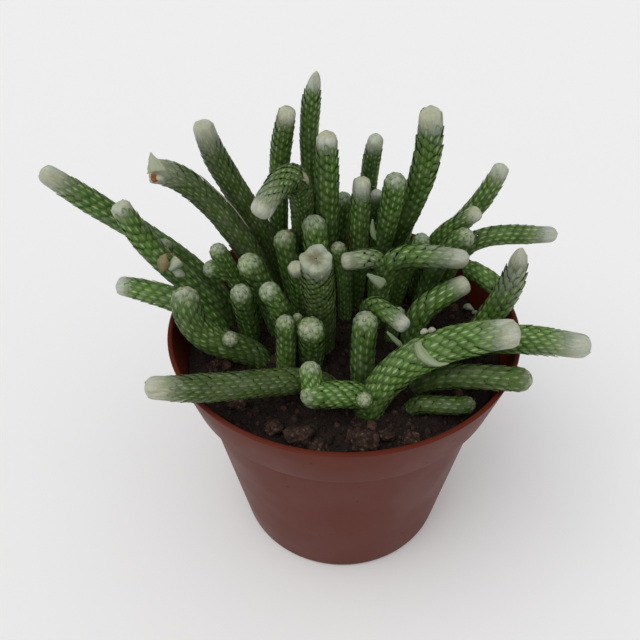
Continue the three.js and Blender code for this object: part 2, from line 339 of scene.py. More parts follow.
def rounded(outline, steps=4):
    """The outline with each inner corner replaced by a small arc."""
    points = []
    for i, (r, z, corner) in enumerate(outline):
        here = Vector((r, z))
        if not corner:
            points.append(here)
            continue
        before = (Vector(outline[i - 1][:2]) - here).normalized() * corner
        after = (Vector(outline[i + 1][:2]) - here).normalized() * corner
        for k in range(steps + 1):
            t = k / steps
            points.append(here + before * (1 - t) ** 2 + after * t**2)
    return points


def turned_mesh(name, outline, sides):
    """Turns an outline that starts and ends on the axis into a closed mesh."""
    ring = [(math.cos(2 * math.pi * k / sides), math.sin(2 * math.pi * k / sides)) for k in range(sides)]
    inner = outline[1:-1]
    points = [(c * p[0], s * p[0], p[1]) for p in inner for c, s in ring]
    points += [(0, 0, outline[0][1]), (0, 0, outline[-1][1])]
    faces = []
    for k in range(sides):
        following = (k + 1) % sides
        for row in range(len(inner) - 1):
            a, b = row * sides, (row + 1) * sides
            faces.append((a + k, a + following, b + following, b + k))
        top = (len(inner) - 1) * sides
        faces.append((k, len(points) - 2, following))
        faces.append((top + k, top + following, len(points) - 1))
    mesh = bpy.data.meshes.new(name)
    mesh.from_pydata([Vector(p) * MM for p in points], [], faces)
    return mesh


pot = link_object("nursery_pot", turned_mesh("nursery_pot", rounded(POT_OUTLINE), POT_SIDES))
print("turned pot:", len(pot.data.polygons), "faces")

# %% [markdown]
# ## Drain holes
# Water leaves the pot through four round holes in its base, which the mould leaves open. Cutting them
# into the grid of faces by hand would be fiddly, so four drills are made as one mesh of cylinders and
# a Boolean takes them away. Its result is kept as a plain mesh, and the drills are thrown away.

# %% Drain holes
DRAIN_HOLES = {"count": 4, "radius": 3.0, "ring_radius": 19.0}
DRILL_SIDES = 24
DRILL_REACH = (-3, 5)


def evaluated_mesh(piece):
    """What the piece's modifiers make of it, as a plain mesh."""
    depsgraph = bpy.context.evaluated_depsgraph_get()
    shown = piece.evaluated_get(depsgraph)
    return bpy.data.meshes.new_from_object(shown, preserve_all_data_layers=True, depsgraph=depsgraph)


drill_mesh = bpy.data.meshes.new("drill")
drill_points, drill_faces = [], []
for hole in range(DRAIN_HOLES["count"]):
    turn = (hole + 0.5) / DRAIN_HOLES["count"] * 2 * math.pi
    centre = Vector((math.cos(turn), math.sin(turn), 0)) * DRAIN_HOLES["ring_radius"]
    first = len(drill_points)
    for height in DRILL_REACH:
        for k in range(DRILL_SIDES):
            a = 2 * math.pi * k / DRILL_SIDES
            out = Vector((math.cos(a), math.sin(a), 0)) * DRAIN_HOLES["radius"]
            drill_points.append((centre + out + Vector((0, 0, height))) * MM)
    low, high = (list(range(first + start, first + start + DRILL_SIDES)) for start in (0, DRILL_SIDES))
    for k in range(DRILL_SIDES):
        following = (k + 1) % DRILL_SIDES
        drill_faces.append((low[k], low[following], high[following], high[k]))
    drill_faces += [tuple(reversed(low)), tuple(high)]
drill_mesh.from_pydata(drill_points, [], drill_faces)
drill = link_object("drill", drill_mesh)
cut = pot.modifiers.new("drain holes", "BOOLEAN")
cut.operation, cut.object, cut.solver = "DIFFERENCE", drill, "EXACT"
pot_mesh = evaluated_mesh(pot)
pot.modifiers.remove(cut)
pot.data = pot_mesh
bpy.data.objects.remove(drill)
pot_mesh.materials.clear()
pot_mesh.materials.append(plastic)
pot_mesh.shade_smooth()
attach(pot, "root")
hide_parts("pot")
print("pot with", DRAIN_HOLES["count"], "drain holes:", len(pot_mesh.polygons), "faces")

# %% [markdown]
# ## Earth
# Potting soil is a mix of dark peat, small stones and bits of bark. Its colour changes from crumb to
# crumb. A material for each kind would be simple but stiff, so each crumb gets a number of its own,
# stored on the mesh as an attribute, and one material turns that number into a colour with a ramp.
# A fine noise makes pores and blotches; the pores are darker where the fine relief sinks, which is
# painted shade in them. It is matt everywhere.

# %% Earth material
EARTH_STOPS = [
    # from wet peat over dry peat to bark and grit
    (0.0, srgb(27, 20, 17)),
    (0.42, srgb(44, 32, 27)),
    (0.66, srgb(70, 50, 42)),
    (0.84, srgb(98, 72, 58)),
    (1.0, srgb(150, 122, 98)),
]

earth, shader, nodes = new_material("potting soil", {"Specular IOR Level": 0.25})
place = nodes.add("ShaderNodeTexCoord").output("Object")
kind = nodes.add("ShaderNodeAttribute", {"attribute_name": "kind"}).output("Fac")
blotch = nodes.add("ShaderNodeTexNoise", {}, {"Vector": place, "Scale": 900.0, "Detail": 4.0})
pores_and_shade = nodes.add("ShaderNodeTexNoise", {}, {"Vector": place, "Scale": 3200.0, "Detail": 3.0})
blend = kind * 0.72 + blotch.ramp(0.3, 0.8) * 0.28
earth_colour = nodes.add("ShaderNodeValToRGB", {"stops": EARTH_STOPS}, {"Fac": blend})
# the fine noise darkens the soil where its relief sinks: painted shade in the pores
earth_colour = nodes.tinted(earth_colour, pores_and_shade.ramp(0.3, 0.7, 0.6, 1.25))
nodes.feed(shader, "Base Color", earth_colour)
nodes.feed(shader, "Roughness", blotch.ramp(0.2, 0.8, 0.75, 1.0))
relief = nodes.add("ShaderNodeBump", {}, {"Strength": 0.7, "Distance": 0.0004, "Height": pores_and_shade + blotch})
nodes.feed(shader, "Normal", relief)
print("material:", earth.name)

# %% [markdown]
# ## Soil
# The soil fills the pot up to the collar. Its top follows the same slow waves as the CAD solid, with
# finer lumps on it from a noise that is worked out point by point. A square grid would have a ragged
# edge at the pot's wall. This grid is polar, so its edge is exactly round, and its last ring goes on
# down the wall to a closed bottom.

# %% Soil body
SOIL_LEVEL = 58.0
SOIL_RADIUS = 38.6
SOIL_RINGS = 46
SOIL_SPOKES = 132
# radius and height down the pot's wall, over the step of the collar, to the bottom
SOIL_WALL = [(38.55, 56.5), (37.6, 54.1), (35.2, 54.0), (27.2, 2.2)]
LUMP_HEIGHT = 0.75
LUMP_SCALE = 0.32


def soil_height(x, y):
    """Height of the soil's top in mm, as the CAD solid has it."""
    broad = math.sin(0.21 * x + 0.6) * math.cos(0.19 * y - 0.4)
    fine = math.sin(0.83 * x - 0.41 * y) * math.cos(0.37 * x + 0.78 * y + 1.1)
    return SOIL_LEVEL + 0.5 * broad + 0.6 * fine


def rough_height(x, y):
    """The same, with crumbs and hollows on it."""
    roughness, finer, layers = 0.9, 2.1, 4
    lump = noise.fractal(Vector((x, y, 0)) * LUMP_SCALE, roughness, finer, layers)
    return soil_height(x, y) + LUMP_HEIGHT * lump


soil_points = [(0, 0, rough_height(0, 0))]
for ring in range(1, SOIL_RINGS + 1):
    radius = SOIL_RADIUS * ring / SOIL_RINGS
    for spoke in range(SOIL_SPOKES):
        turn = 2 * math.pi * spoke / SOIL_SPOKES
        x, y = radius * math.cos(turn), radius * math.sin(turn)
        soil_points.append((x, y, rough_height(x, y)))
for radius, height in SOIL_WALL:
    for spoke in range(SOIL_SPOKES):
        turn = 2 * math.pi * spoke / SOIL_SPOKES
        soil_points.append((radius * math.cos(turn), radius * math.sin(turn), height))
soil_faces = [(0, 1 + k, 1 + (k + 1) % SOIL_SPOKES) for k in range(SOIL_SPOKES)]
for ring in range(SOIL_RINGS - 1 + len(SOIL_WALL)):
    a, b = 1 + ring * SOIL_SPOKES, 1 + (ring + 1) * SOIL_SPOKES
    for k in range(SOIL_SPOKES):
        following = (k + 1) % SOIL_SPOKES
        soil_faces.append((a + k, b + k, b + following, a + following))
soil_faces.append(tuple(len(soil_points) - 1 - k for k in range(SOIL_SPOKES)))
soil_mesh = bpy.data.meshes.new("soil_body")
soil_mesh.from_pydata([Vector(p) * MM for p in soil_points], [], soil_faces)
soil_mesh.shade_smooth()
soil_kind = soil_mesh.attributes.new("kind", "FLOAT", "POINT")
soil_kind.data.foreach_set("value", [0.18 + 0.2 * noise.noise(Vector(p) * 0.4) for p in soil_points])
soil_mesh.materials.append(earth)
soil = link_object("soil_body", soil_mesh)
print("soil:", len(soil_mesh.polygons), "faces")

# %% [markdown]
# ## Node trees for shapes
# What repeats is made by Geometry Nodes. A tree is a recipe with named inputs, such as a thickness.
# To use one, an object gets it as a modifier: an empty one, or one whose mesh the tree works on. The
# inputs are filled in by their identifiers, and the result is taken off as a plain mesh. The export
# drops instances, so each tree ends by making them real and giving them their material.

# %% Tree helpers
def new_tree(name, inputs):
    """A geometry tree with named inputs, its helpers and the inputs as sockets."""
    tree = bpy.data.node_groups.new(name, "GeometryNodeTree")
    tree.interface.new_socket(name="Geometry", in_out="OUTPUT", socket_type="NodeSocketGeometry")
    for label, kind in {"Geometry": "Geometry", **inputs}.items():
        tree.interface.new_socket(name=label, in_out="INPUT", socket_type="NodeSocket" + kind)
    helpers = Nodes(tree)
    entry = tree.nodes.new("NodeGroupInput")
    given = {label: Socket(helpers, entry.outputs[label]) for label in ["Geometry", *inputs]}
    return tree, helpers, given


def end_tree(nodes, parts, material):
    """Joins the parts, makes instances real, sets the material and ends the tree."""
    joined = nodes.add("GeometryNodeJoinGeometry", {}, {"Geometry": parts})
    real = nodes.add("GeometryNodeRealizeInstances", {}, {"Geometry": joined})
    smooth = nodes.add("GeometryNodeSetShadeSmooth", {}, {"Geometry": real})
    painted = nodes.add("GeometryNodeSetMaterial", {}, {"Geometry": smooth, "Material": material})
    nodes.add("NodeGroupOutput", {}, {"Geometry": painted})


def run_tree(tree, name, values, mesh=None):
    """Runs a tree on a mesh and returns its result as an object with a plain mesh."""
    piece = link_object(name, mesh or bpy.data.meshes.new(name))
    modifier = piece.modifiers.new("recipe", "NODES")
    modifier.node_group = tree
    for item in tree.interface.items_tree:
        if item.in_out == "INPUT" and item.name in values:
            modifier[item.identifier] = values[item.name]
    result = evaluated_mesh(piece)
    piece.modifiers.remove(modifier)
    piece.data = result
    result.name = name
    return piece


print("tree helpers ready")

# %% [markdown]
# ## Crumbs
# Crumbs of peat and small stones lie on the soil. Particles could scatter them, but the export drops
# particles. A tree strews them over the soil's top instead, with their middles on it. It keeps them
# apart, picks one of four shapes for each, turns and sizes it at random from a fixed seed, and gives
# it its own number for the colour.

# %% Crumbs
CRUMB_SHAPES = 4
# Points on each square metre, before those that lie too close together are left out
STREWN_DENSITY = 2.0e6
# How far upwards the surface has to face
LEVEL_ENOUGH = 0.3
ANY_TURN = (6.28, 6.28, 6.28)
# A power that makes small sizes more likely than large ones
MOSTLY_SMALL = 2.2

crumb_inputs = {
    "Smallest": "Float",
    "Largest": "Float",
    "Spacing": "Float",
    "Reach": "Float",
    "Seed": "Int",
    "Colour from": "Float",
    "Colour to": "Float",
    "Material": "Material",
}
crumb_inputs.update({f"Crumb {k}": "Object" for k in range(CRUMB_SHAPES)})
crumb_tree, nodes, given = new_tree("strewn crumbs", crumb_inputs)
spot = nodes.add("GeometryNodeInputPosition")
x = nodes.add("ShaderNodeSeparateXYZ", {}, {"Vector": spot})
y = x.output("Y")
reach = (x * x + y * y) ** 0.5
normal = nodes.add("GeometryNodeInputNormal")
upward = nodes.add("ShaderNodeSeparateXYZ", {}, {"Vector": normal}).output("Z")
inside = reach.math("LESS_THAN", given["Reach"]) * upward.math("GREATER_THAN", LEVEL_ENOUGH)
values = {"Mesh": given["Geometry"], "Selection": inside, "Distance Min": given["Spacing"]}
values.update({"Density Max": STREWN_DENSITY, "Seed": given["Seed"]})
points = nodes.add("GeometryNodeDistributePointsOnFaces", {"distribute_method": "POISSON"}, values)
values = {"Min": given["Colour from"], "Max": given["Colour to"], "Seed": 5}
number = nodes.add("FunctionNodeRandomValue", {}, values)
values = {"Geometry": points, "Name": "kind", "Value": number}
points = nodes.add("GeometryNodeStoreNamedAttribute", {"data_type": "FLOAT", "domain": "POINT"}, values)
crumbs = []
for k in range(CRUMB_SHAPES):
    values = {"Object": given[f"Crumb {k}"], "As Instance": True}
    crumbs.append(nodes.add("GeometryNodeObjectInfo", {}, values).output("Geometry"))
crumbs = nodes.add("GeometryNodeJoinGeometry", {}, {"Geometry": crumbs})
values = {"Min": (0, 0, 0), "Max": ANY_TURN, "Seed": 3}
turn = nodes.add("FunctionNodeRandomValue", {"data_type": "FLOAT_VECTOR"}, values)
turn = nodes.add("FunctionNodeEulerToRotation", {}, {"Euler": turn})
even = nodes.add("FunctionNodeRandomValue", {}, {"Min": 0.0, "Max": 1.0, "Seed": 4})
size = given["Smallest"] + (given["Largest"] - given["Smallest"]) * even**MOSTLY_SMALL
values = {"Points": points, "Instance": crumbs, "Pick Instance": True, "Rotation": turn, "Scale": size}
strewn = nodes.add("GeometryNodeInstanceOnPoints", {}, values)
end_tree(nodes, [strewn], given["Material"])
print("crumb tree with", len(crumb_tree.nodes), "nodes")

# %% [markdown]
# ## Two layers of crumbs
# The four shapes come from a coarse sphere that a noise pushes in and out. The tree then runs twice:
# once for many small crumbs that lie close together, and once for fewer, larger stones that are
# divided more finely and may be paler. Its inputs make the difference.

# %% Two layers of crumbs
def crumb_mesh(name, seed, fineness):
    """A lumpy pebble, one unit across."""
    mesh = bpy.data.meshes.new(name)
    shape = bmesh.new()
    bmesh.ops.create_icosphere(shape, subdivisions=fineness, radius=0.5)
    squash = Vector((1.0, 0.8 + (0.1 * seed) % 0.3, 0.65 + 0.12 * (seed % 3)))
    for v in shape.verts:
        push = 1 + 0.42 * noise.noise(v.co * 3.1 + Vector((seed * 7.3, 0, 0)))
        v.co = Vector(a * b for a, b in zip(v.co * push, squash))
    shape.to_mesh(mesh)
    shape.free()
    return mesh


CRUMB_LENGTHS = ("Smallest", "Largest", "Spacing", "Reach")
CRUMB_LAYERS = {
    # how finely a crumb is divided, its lengths in mm, seed, and where its colours lie on the ramp
    "soil_crumbs": (1, (0.5, 1.7, 0.85, 37.6), 11, (0.05, 0.75)),
    "soil_stones": (2, (1.4, 3.6, 4.2, 35.6), 4, (0.2, 1.0)),
}
for name, (fineness, lengths, seed, colours) in CRUMB_LAYERS.items():
    crumb_meshes = [crumb_mesh(f"crumb_{k}", k + 1, fineness) for k in range(CRUMB_SHAPES)]
    crumb_objects = [link_object(mesh.name, mesh) for mesh in crumb_meshes]
    values = {key: length * MM for key, length in zip(CRUMB_LENGTHS, lengths)}
    values.update({"Seed": seed, "Colour from": colours[0], "Colour to": colours[1], "Material": earth})
    values.update({f"Crumb {k}": crumb for k, crumb in enumerate(crumb_objects)})
    strewn = run_tree(crumb_tree, name, values, soil_mesh.copy())
    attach(strewn, "root")
    for crumb in crumb_objects:
        bpy.data.objects.remove(crumb)
    print(name + ":", len(strewn.data.polygons), "faces")
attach(soil, "root")
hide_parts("soil")

# %% [markdown]
# ## Clods
# A few larger clods of old soil show at the front, where no stem hides them. Chance wouldn't put them in
# the right places, so these are set down one by one where the picture has one, partly in the soil.
# Each is a finer version of the same pebble with two more sizes of bumps. A noise varies its colour,
# because such a clod is peat with lighter bits in it.

# %% Clods
CLODS = [
    # place, size across and height, in mm
    (-10.5, -31.0, 6.4, 4.2),
    (-6.5, -33.6, 4.2, 3.0),
    (3.4, -33.2, 6.0, 4.0),
    (8.2, -31.4, 3.6, 2.6),
    (13.5, -32.2, 4.4, 2.8),
    (-16.0, -28.6, 4.0, 2.6),
    (-24.5, -21.5, 4.6, 3.0),
    (29.5, -13.6, 4.0, 2.6),
    (34.5, 4.5, 4.4, 3.0),
    (-30.0, -8.0, 4.0, 2.6),
    (22.0, 28.0, 4.4, 3.0),
    (-12.0, 34.0, 4.0, 2.8),
]
CLOD_FINENESS = 4
# How far the middle of a clod lies over the soil, as a share of its height
CLOD_LIFT = 0.22

clods = bmesh.new()
for k, (x, y, across, high) in enumerate(CLODS):
    clod = crumb_mesh("clod", 3 + k, CLOD_FINENESS)
    for v in clod.vertices:
        bumps = 0.14 * noise.noise(v.co * 9 + Vector((k * 5, 0, 0))) + 0.12 * noise.noise(v.co * 21)
        v.co = Vector((v.co.x * across, v.co.y * across, v.co.z * high * 1.3)) * (1 + bumps)
    turn = Matrix.Rotation(k * 2.1, 4, "Z")
    stand = Matrix.Translation((x, y, soil_height(x, y) + high * CLOD_LIFT))
    clod.transform(Matrix.Scale(MM, 4) @ stand @ turn)
    clods.from_mesh(clod)
    bpy.data.meshes.remove(clod)
clod_mesh = bpy.data.meshes.new("soil_clods")
clods.to_mesh(clod_mesh)
clods.free()
kinds = [0.6 + 0.9 * max(noise.noise(v.co / MM * 1.9), -0.2) for v in clod_mesh.vertices]
clod_mesh.attributes.new("kind", "FLOAT", "POINT").data.foreach_set("value", kinds)
clod_mesh.materials.append(earth)
clod_mesh.shade_smooth()
clod_piece = link_object("soil_clods", clod_mesh)
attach(clod_piece, "root")
print("clods:", len(CLODS))

# %% [markdown]
# ## Skin of the stems
# A scale is a tiny fleshy leaf under a thin papery one. It is green, with painted shade at its root where
# the scales next to it overlap it, and a pale fleck along its middle that is partly the paper's pale
# margin and partly a painted highlight where the paper catches the light. There are thousands of scales,
# so no texture is painted for them: the scale's own UV map says where on it a point lies, with V from
# root to free edge and U across. Four attributes do the rest: "papery" says how much the paper covers the
# green, "tint" makes each scale a little different, "tone" makes whole stems more olive and darkens a few
# stems that stand in shade, which is painted shade, and "dry" marks withered flowers. A little subsurface
# light makes everything soft.

# %% Stem material
# painted shade at the root of a scale, where the scales next to it overlap it; the core between the
# scales gets it too
ROOT_SHADE = srgb(62, 92, 33)
LEAF = srgb(84, 117, 43)
# an olive green, made darker so that it also paints shade on the olive stems that stand in shade
LEAF_OLIVE_AND_SHADE = srgb(66, 76, 36)
# a pale fleck, partly the paper's pale margin and partly a painted highlight
FLECK_AND_HIGHLIGHT = srgb(172, 200, 146)
PAPER = srgb(184, 190, 174)
PAPER_WARM = srgb(182, 183, 156)
WITHERED = srgb(126, 76, 38)

skin, shader, nodes = new_material("scaly skin", {"Specular IOR Level": 0.28, "Subsurface Weight": 0.14})
shader.inputs["Subsurface Radius"].default_value = (0.6, 1.0, 0.3)
shader.inputs["Subsurface Scale"].default_value = 0.0006
place = nodes.add("ShaderNodeTexCoord").output("Object")
uv = nodes.add("ShaderNodeUVMap", {"uv_map": "UVMap"})
u = nodes.add("ShaderNodeSeparateXYZ", {}, {"Vector": uv})
across, along = (u - 0.5).math("ABSOLUTE") * 2, u.output("Y")
papery = nodes.add("ShaderNodeAttribute", {"attribute_name": "papery"}).output("Fac")
tint = nodes.add("ShaderNodeAttribute", {"attribute_name": "tint"}).output("Fac")
tone = nodes.add("ShaderNodeAttribute", {"attribute_name": "tone"}).output("Fac")
dry = nodes.add("ShaderNodeAttribute", {"attribute_name": "dry"}).output("Fac")
mottle = nodes.add("ShaderNodeTexNoise", {}, {"Vector": place, "Scale": 260.0, "Detail": 3.0})
fibres = nodes.add("ShaderNodeTexNoise", {}, {"Vector": place, "Scale": 2400.0, "Detail": 3.0})

# The green under the paper: painted shade at the root of the scale, where the scales next to it overlap
# it, and a pale fleck nearer to its free edge, partly the paper's pale margin and partly a painted
# highlight.
fresh = nodes.mix(tone, LEAF, LEAF_OLIVE_AND_SHADE)
green = nodes.mix(along.ramp(0.25, 0.6), ROOT_SHADE, fresh)
from_fleck = across * 1.4 + (along - 0.66).math("ABSOLUTE") * 1.15
fleck_and_highlight = from_fleck.ramp(0.2, 0.62, 1.0, 0.0) * (0.14 + tint * 0.64) * (1 - tone * 0.6)
green = nodes.mix(fleck_and_highlight, green, FLECK_AND_HIGHLIGHT)
green = nodes.tinted(green, mottle.ramp(0.3, 0.7, 0.82, 1.16))

# The paper: two whites, streaked by fine lines along the scale, which also break up its lower end.
paper = nodes.mix(mottle.ramp(0.35, 0.7), PAPER, PAPER_WARM)
lines = nodes.add("ShaderNodeCombineXYZ", {}, {"X": u * 9.0, "Y": along * 1.4, "Z": tint * 20.0})
lines = nodes.add("ShaderNodeTexNoise", {}, {"Vector": lines, "Scale": 1.0, "Detail": 2.0})
paper = nodes.tinted(paper, fibres.ramp(0.3, 0.7, 0.92, 1.04) * lines.ramp(0.3, 0.7, 0.86, 1.04))
cover = papery + (lines - 0.5) * papery * (1 - papery) * 3.0
colour = nodes.mix(cover.ramp(0.0, 1.0, 0.0, 1.0, "LINEAR"), green, paper)
colour = nodes.mix(dry, colour, nodes.tinted(WITHERED, fibres.ramp(0.3, 0.7, 0.6, 1.5)))
nodes.feed(shader, "Base Color", colour)
nodes.feed(shader, "Roughness", papery.ramp(0.0, 1.0, 0.56, 0.7) + (fibres - 0.5) * 0.12)
relief = nodes.add("ShaderNodeBump", {}, {"Strength": 0.25, "Distance": 0.0002, "Height": fibres})
nodes.feed(shader, "Normal", relief)
print("material:", skin.name)

# %% [markdown]
# ## Grids into shapes
# The shapes that the stems repeat are made once, in units of a stem's thickness, with the stem's axis
# on Z. They are grids of points, most of them bent round that axis. Modelled by hand they would need
# a UV map afterwards, but a grid knows where each point lies on it, so a small class writes that down,
# together with how papery and how dry each point is.

# %% Grids into shapes
COLUMNS = (-1, -0.5, 0, 0.5, 1)


def wrapped_grid(rows):
    """Points of a grid round the Z axis: rows of (angle centre, half angle, radius, edge drop, z)."""
    points = []
    for centre, half_angle, radius, drop, z in rows:
        for a in COLUMNS:
            angle, r = centre + a * half_angle, radius - drop * a * a
            points.append((r * math.cos(angle), r * math.sin(angle), z))
    return points


class Shape:
    """Collects grids of points into one mesh with a UV map and named numbers on its points."""

    def __init__(self):
        self.points, self.faces, self.uvs, self.numbers = [], [], [], {"papery": [], "dry": []}

    def add_grid(self, points, ways, columns, papery, dry=0.0, closed=False):
        """Adds rows of points, each at its way from root to edge; papery and dry may depend on it."""
        first, rows = len(self.points), len(ways)
        self.points += points
        for way in ways:
            for k in range(columns):
                self.uvs.append((k / (columns - 1), way))
                self.numbers["papery"].append(papery(way) if callable(papery) else papery)
                self.numbers["dry"].append(dry(way) if callable(dry) else dry)
        for row in range(rows - 1):
            for k in range(columns if closed else columns - 1):
                following = (k + 1) % columns
                a, b = first + row * columns, first + (row + 1) * columns
                self.faces.append((a + k, a + following, b + following, b + k))

    def mesh(self, name, keep_numbers=True):
        """The finished mesh. A scale keeps no numbers, because the stem's tree gives it its own."""
        mesh = bpy.data.meshes.new(name)
        mesh.from_pydata(self.points, [], self.faces)
        layer = mesh.uv_layers.new(name="UVMap")
        corners = [self.uvs[loop.vertex_index] for loop in mesh.loops]
        layer.data.foreach_set("uv", [c for corner in corners for c in corner])
        if keep_numbers:
            for label, values in self.numbers.items():
                mesh.attributes.new(label, "FLOAT", "POINT").data.foreach_set("value", values)
        return mesh


print("columns of a scale's grid:", len(COLUMNS))

# %% [markdown]
# ## One scale
# The scales could be a bump in the material, but their lifted edges show along the outline of every
# stem, so each is a few faces of its own. It is narrow at its root, which sinks into the stem, and
# narrow and slightly lifted at its free end. Some stems have finer scales than the others.

# %% One scale
CORE_RADIUS = 0.476
FINE_SIZE = 0.74
SCALE_LENGTH = 0.47
SCALE_HALF_WIDTH = 0.158
SCALE_DROP = 0.015
SCALE_ROWS = [
    # way from root to edge, width, height over the core
    (0.0, 0.6, -0.02),
    (0.42, 1.0, 0.004),
    (0.72, 0.88, 0.013),
    (0.9, 0.5, 0.019),
    (1.0, 0.12, 0.017),
]


def scale_shape(name, size):
    """A scale; size makes it finer than most, for stems that are set with smaller ones."""
    shape = Shape()
    rows = []
    for way, width, height in SCALE_ROWS:
        radius = CORE_RADIUS + height
        half = size * SCALE_HALF_WIDTH * width / radius
        rows.append((0, half, radius, SCALE_DROP, size * way * SCALE_LENGTH))
    shape.add_grid(wrapped_grid(rows), [row[0] for row in SCALE_ROWS], len(COLUMNS), 0.0)
    return shape.mesh(name, keep_numbers=False)


scale_meshes = {"scale": scale_shape("scale", 1.0), "fine_scale": scale_shape("fine_scale", FINE_SIZE)}
print("faces of a scale:", len(scale_meshes["scale"].polygons))

# %% [markdown]
# ## Hoods
# An old stem ends in a hood: a whorl of larger papery scales that close over the tip, blunt or
# pointed. Copying the stem's own scale up to the very tip would leave a hole there, so a hood is a
# shape of its own: a smooth closed body under five large scales, set round the axis by the golden
# angle as growing tips do. Each scale follows the hood's profile and lies a little above the last.

# %% Hoods
def smooth(x, start, end):
    """Goes softly from 0 to 1 while x goes from start to end."""
    t = min(max((x - start) / (end - start), 0), 1)
    return t * t * (3 - 2 * t)


HOOD_RADIUS = 0.478
TIP_ROWS = [-0.2, 0, 0.12, 0.26, 0.42, 0.58, 0.72, 0.83, 0.92, 0.98, 1.0]
TIP_SIDES = 16
GOLDEN_TURN = 2.4


def round_profile(b):
    """The radius of a blunt hood, at b of the way from its foot to its end."""
    shoulder = max(0, (b - 0.55) / 0.45)
    return HOOD_RADIUS * (1 - 0.1 * b) * math.sqrt(max(0, 1 - shoulder**3.2))


def pointed_profile(b):
    """The same for a pointed hood."""
    return HOOD_RADIUS * (1 - b**2) ** 0.75 if b < 1 else 0


def tip_body(shape, profile, fade):
    """The smooth body under the scales of a tip. Its foot sinks into the shoot; it is one unit long."""
    points = []
    turns = [2 * math.pi * k / TIP_SIDES for k in range(TIP_SIDES)]
    for b in TIP_ROWS:
        r = profile(max(b, 0)) * (0.985 if b >= 0 else 0.9)
        points += [(r * math.cos(turn), r * math.sin(turn), b) for turn in turns]
    shape.add_grid(points, TIP_ROWS, TIP_SIDES, fade, closed=True)


def hood_shape(name, profile, bracts=5):
    """A papery hood: a few large scales that close over the tip."""
    shape = Shape()
    tip_body(shape, profile, lambda b: 0.45 + 0.47 * smooth(b, 0.0, 0.55))
    ways = [0, 0.2, 0.42, 0.64, 0.82, 0.94, 1.0]
    for k in range(bracts):
        start = 0.05 * (k % 3)
        rows = []
        for way in ways:
            b = start + (1.0 - 0.05 * (k * 3 % 5) - start) * way
            half = 0.75 * (0.55 + 0.45 * math.sin(math.pi * min(way * 1.1 + 0.1, 1))) * (1 - 0.3 * way)
            lift = 0.004 + 0.003 * k + 0.016 * way * (k * 3 % 5) / 4
            rows.append((k * GOLDEN_TURN, half, profile(min(b, 0.97)) + lift, 0.022, b))
        whiter = lambda way: 0.42 + 0.55 * smooth(way, 0.0, 0.6)
        shape.add_grid(wrapped_grid(rows), ways, len(COLUMNS), whiter)
    return shape.mesh(name)


tip_meshes = {
    "hood": hood_shape("hood", round_profile),
    "point": hood_shape("point", pointed_profile),
}
print("faces of a hood:", len(tip_meshes["hood"].polygons))

# %% [markdown]
# ## Domes
# A young stem ends in a dome, a half ball that small scales cover to the middle. A hood's few large
# scales would look too old there. These are thirty small ones, and they climb from below the dome to
# its top, each turned on by the golden angle, shorter and paler the higher it sits.

# %% Domes
DOME_RADIUS = 0.484


def dome_profile(b):
    """The radius of a dome, at b of the way from its foot to its top."""
    return DOME_RADIUS * math.sqrt(1 - min(max(b, 0), 1) ** 2)


def dome_shape(name, scales=30):
    """A young tip: a half ball that small scales cover to the middle, paler the higher they sit."""
    shape = Shape()
    tip_body(shape, dome_profile, lambda b: 0.05 + 0.54 * smooth(b, 0.06, 0.94))
    ways = [row[0] for row in SCALE_ROWS]
    for k in range(scales):
        climb = k / (scales - 1)
        start, reach = -0.85 + 1.62 * climb, 0.8 - 0.35 * climb
        points = []
        for way, width, height in SCALE_ROWS:
            b = min(start + reach * way, 0.985)
            half = SCALE_HALF_WIDTH * (1.15 - 0.3 * climb) * width
            half = min(half / max(dome_profile(b), 0.1), 1.2)
            for a in COLUMNS:
                over = 1 + (height + 0.002 * climb - 0.02 * a * a) / DOME_RADIUS
                turn, r = k * GOLDEN_TURN + a * half, dome_profile(b) * over
                points.append((r * math.cos(turn), r * math.sin(turn), b * over if b > 0 else b))
        pale = (0.42 + 0.44 * (k * 7 % 10) / 10) * smooth(start + 0.6 * reach, -0.27, 0.88)
        whiter = lambda way: pale * (0.25 + 0.95 * smooth(way, 0.4, 0.9))
        shape.add_grid(points, ways, len(COLUMNS), whiter)
    return shape.mesh(name)


tip_meshes["dome"] = dome_shape("dome")
print("faces of a dome:", len(tip_meshes["dome"].polygons))

# %% [markdown]
# ## Flower stubs and threads
# Where a flower has been, a papery tube with a crumpled lip is left, closed by withered paper. It is
# turned from an outline like the pot, with a few waves that grow towards the lip. A thread is a dry
# hair that grows between the scales. Hair curves could make it, but the export drops them. A mesh
# with three sides is enough for something so thin.

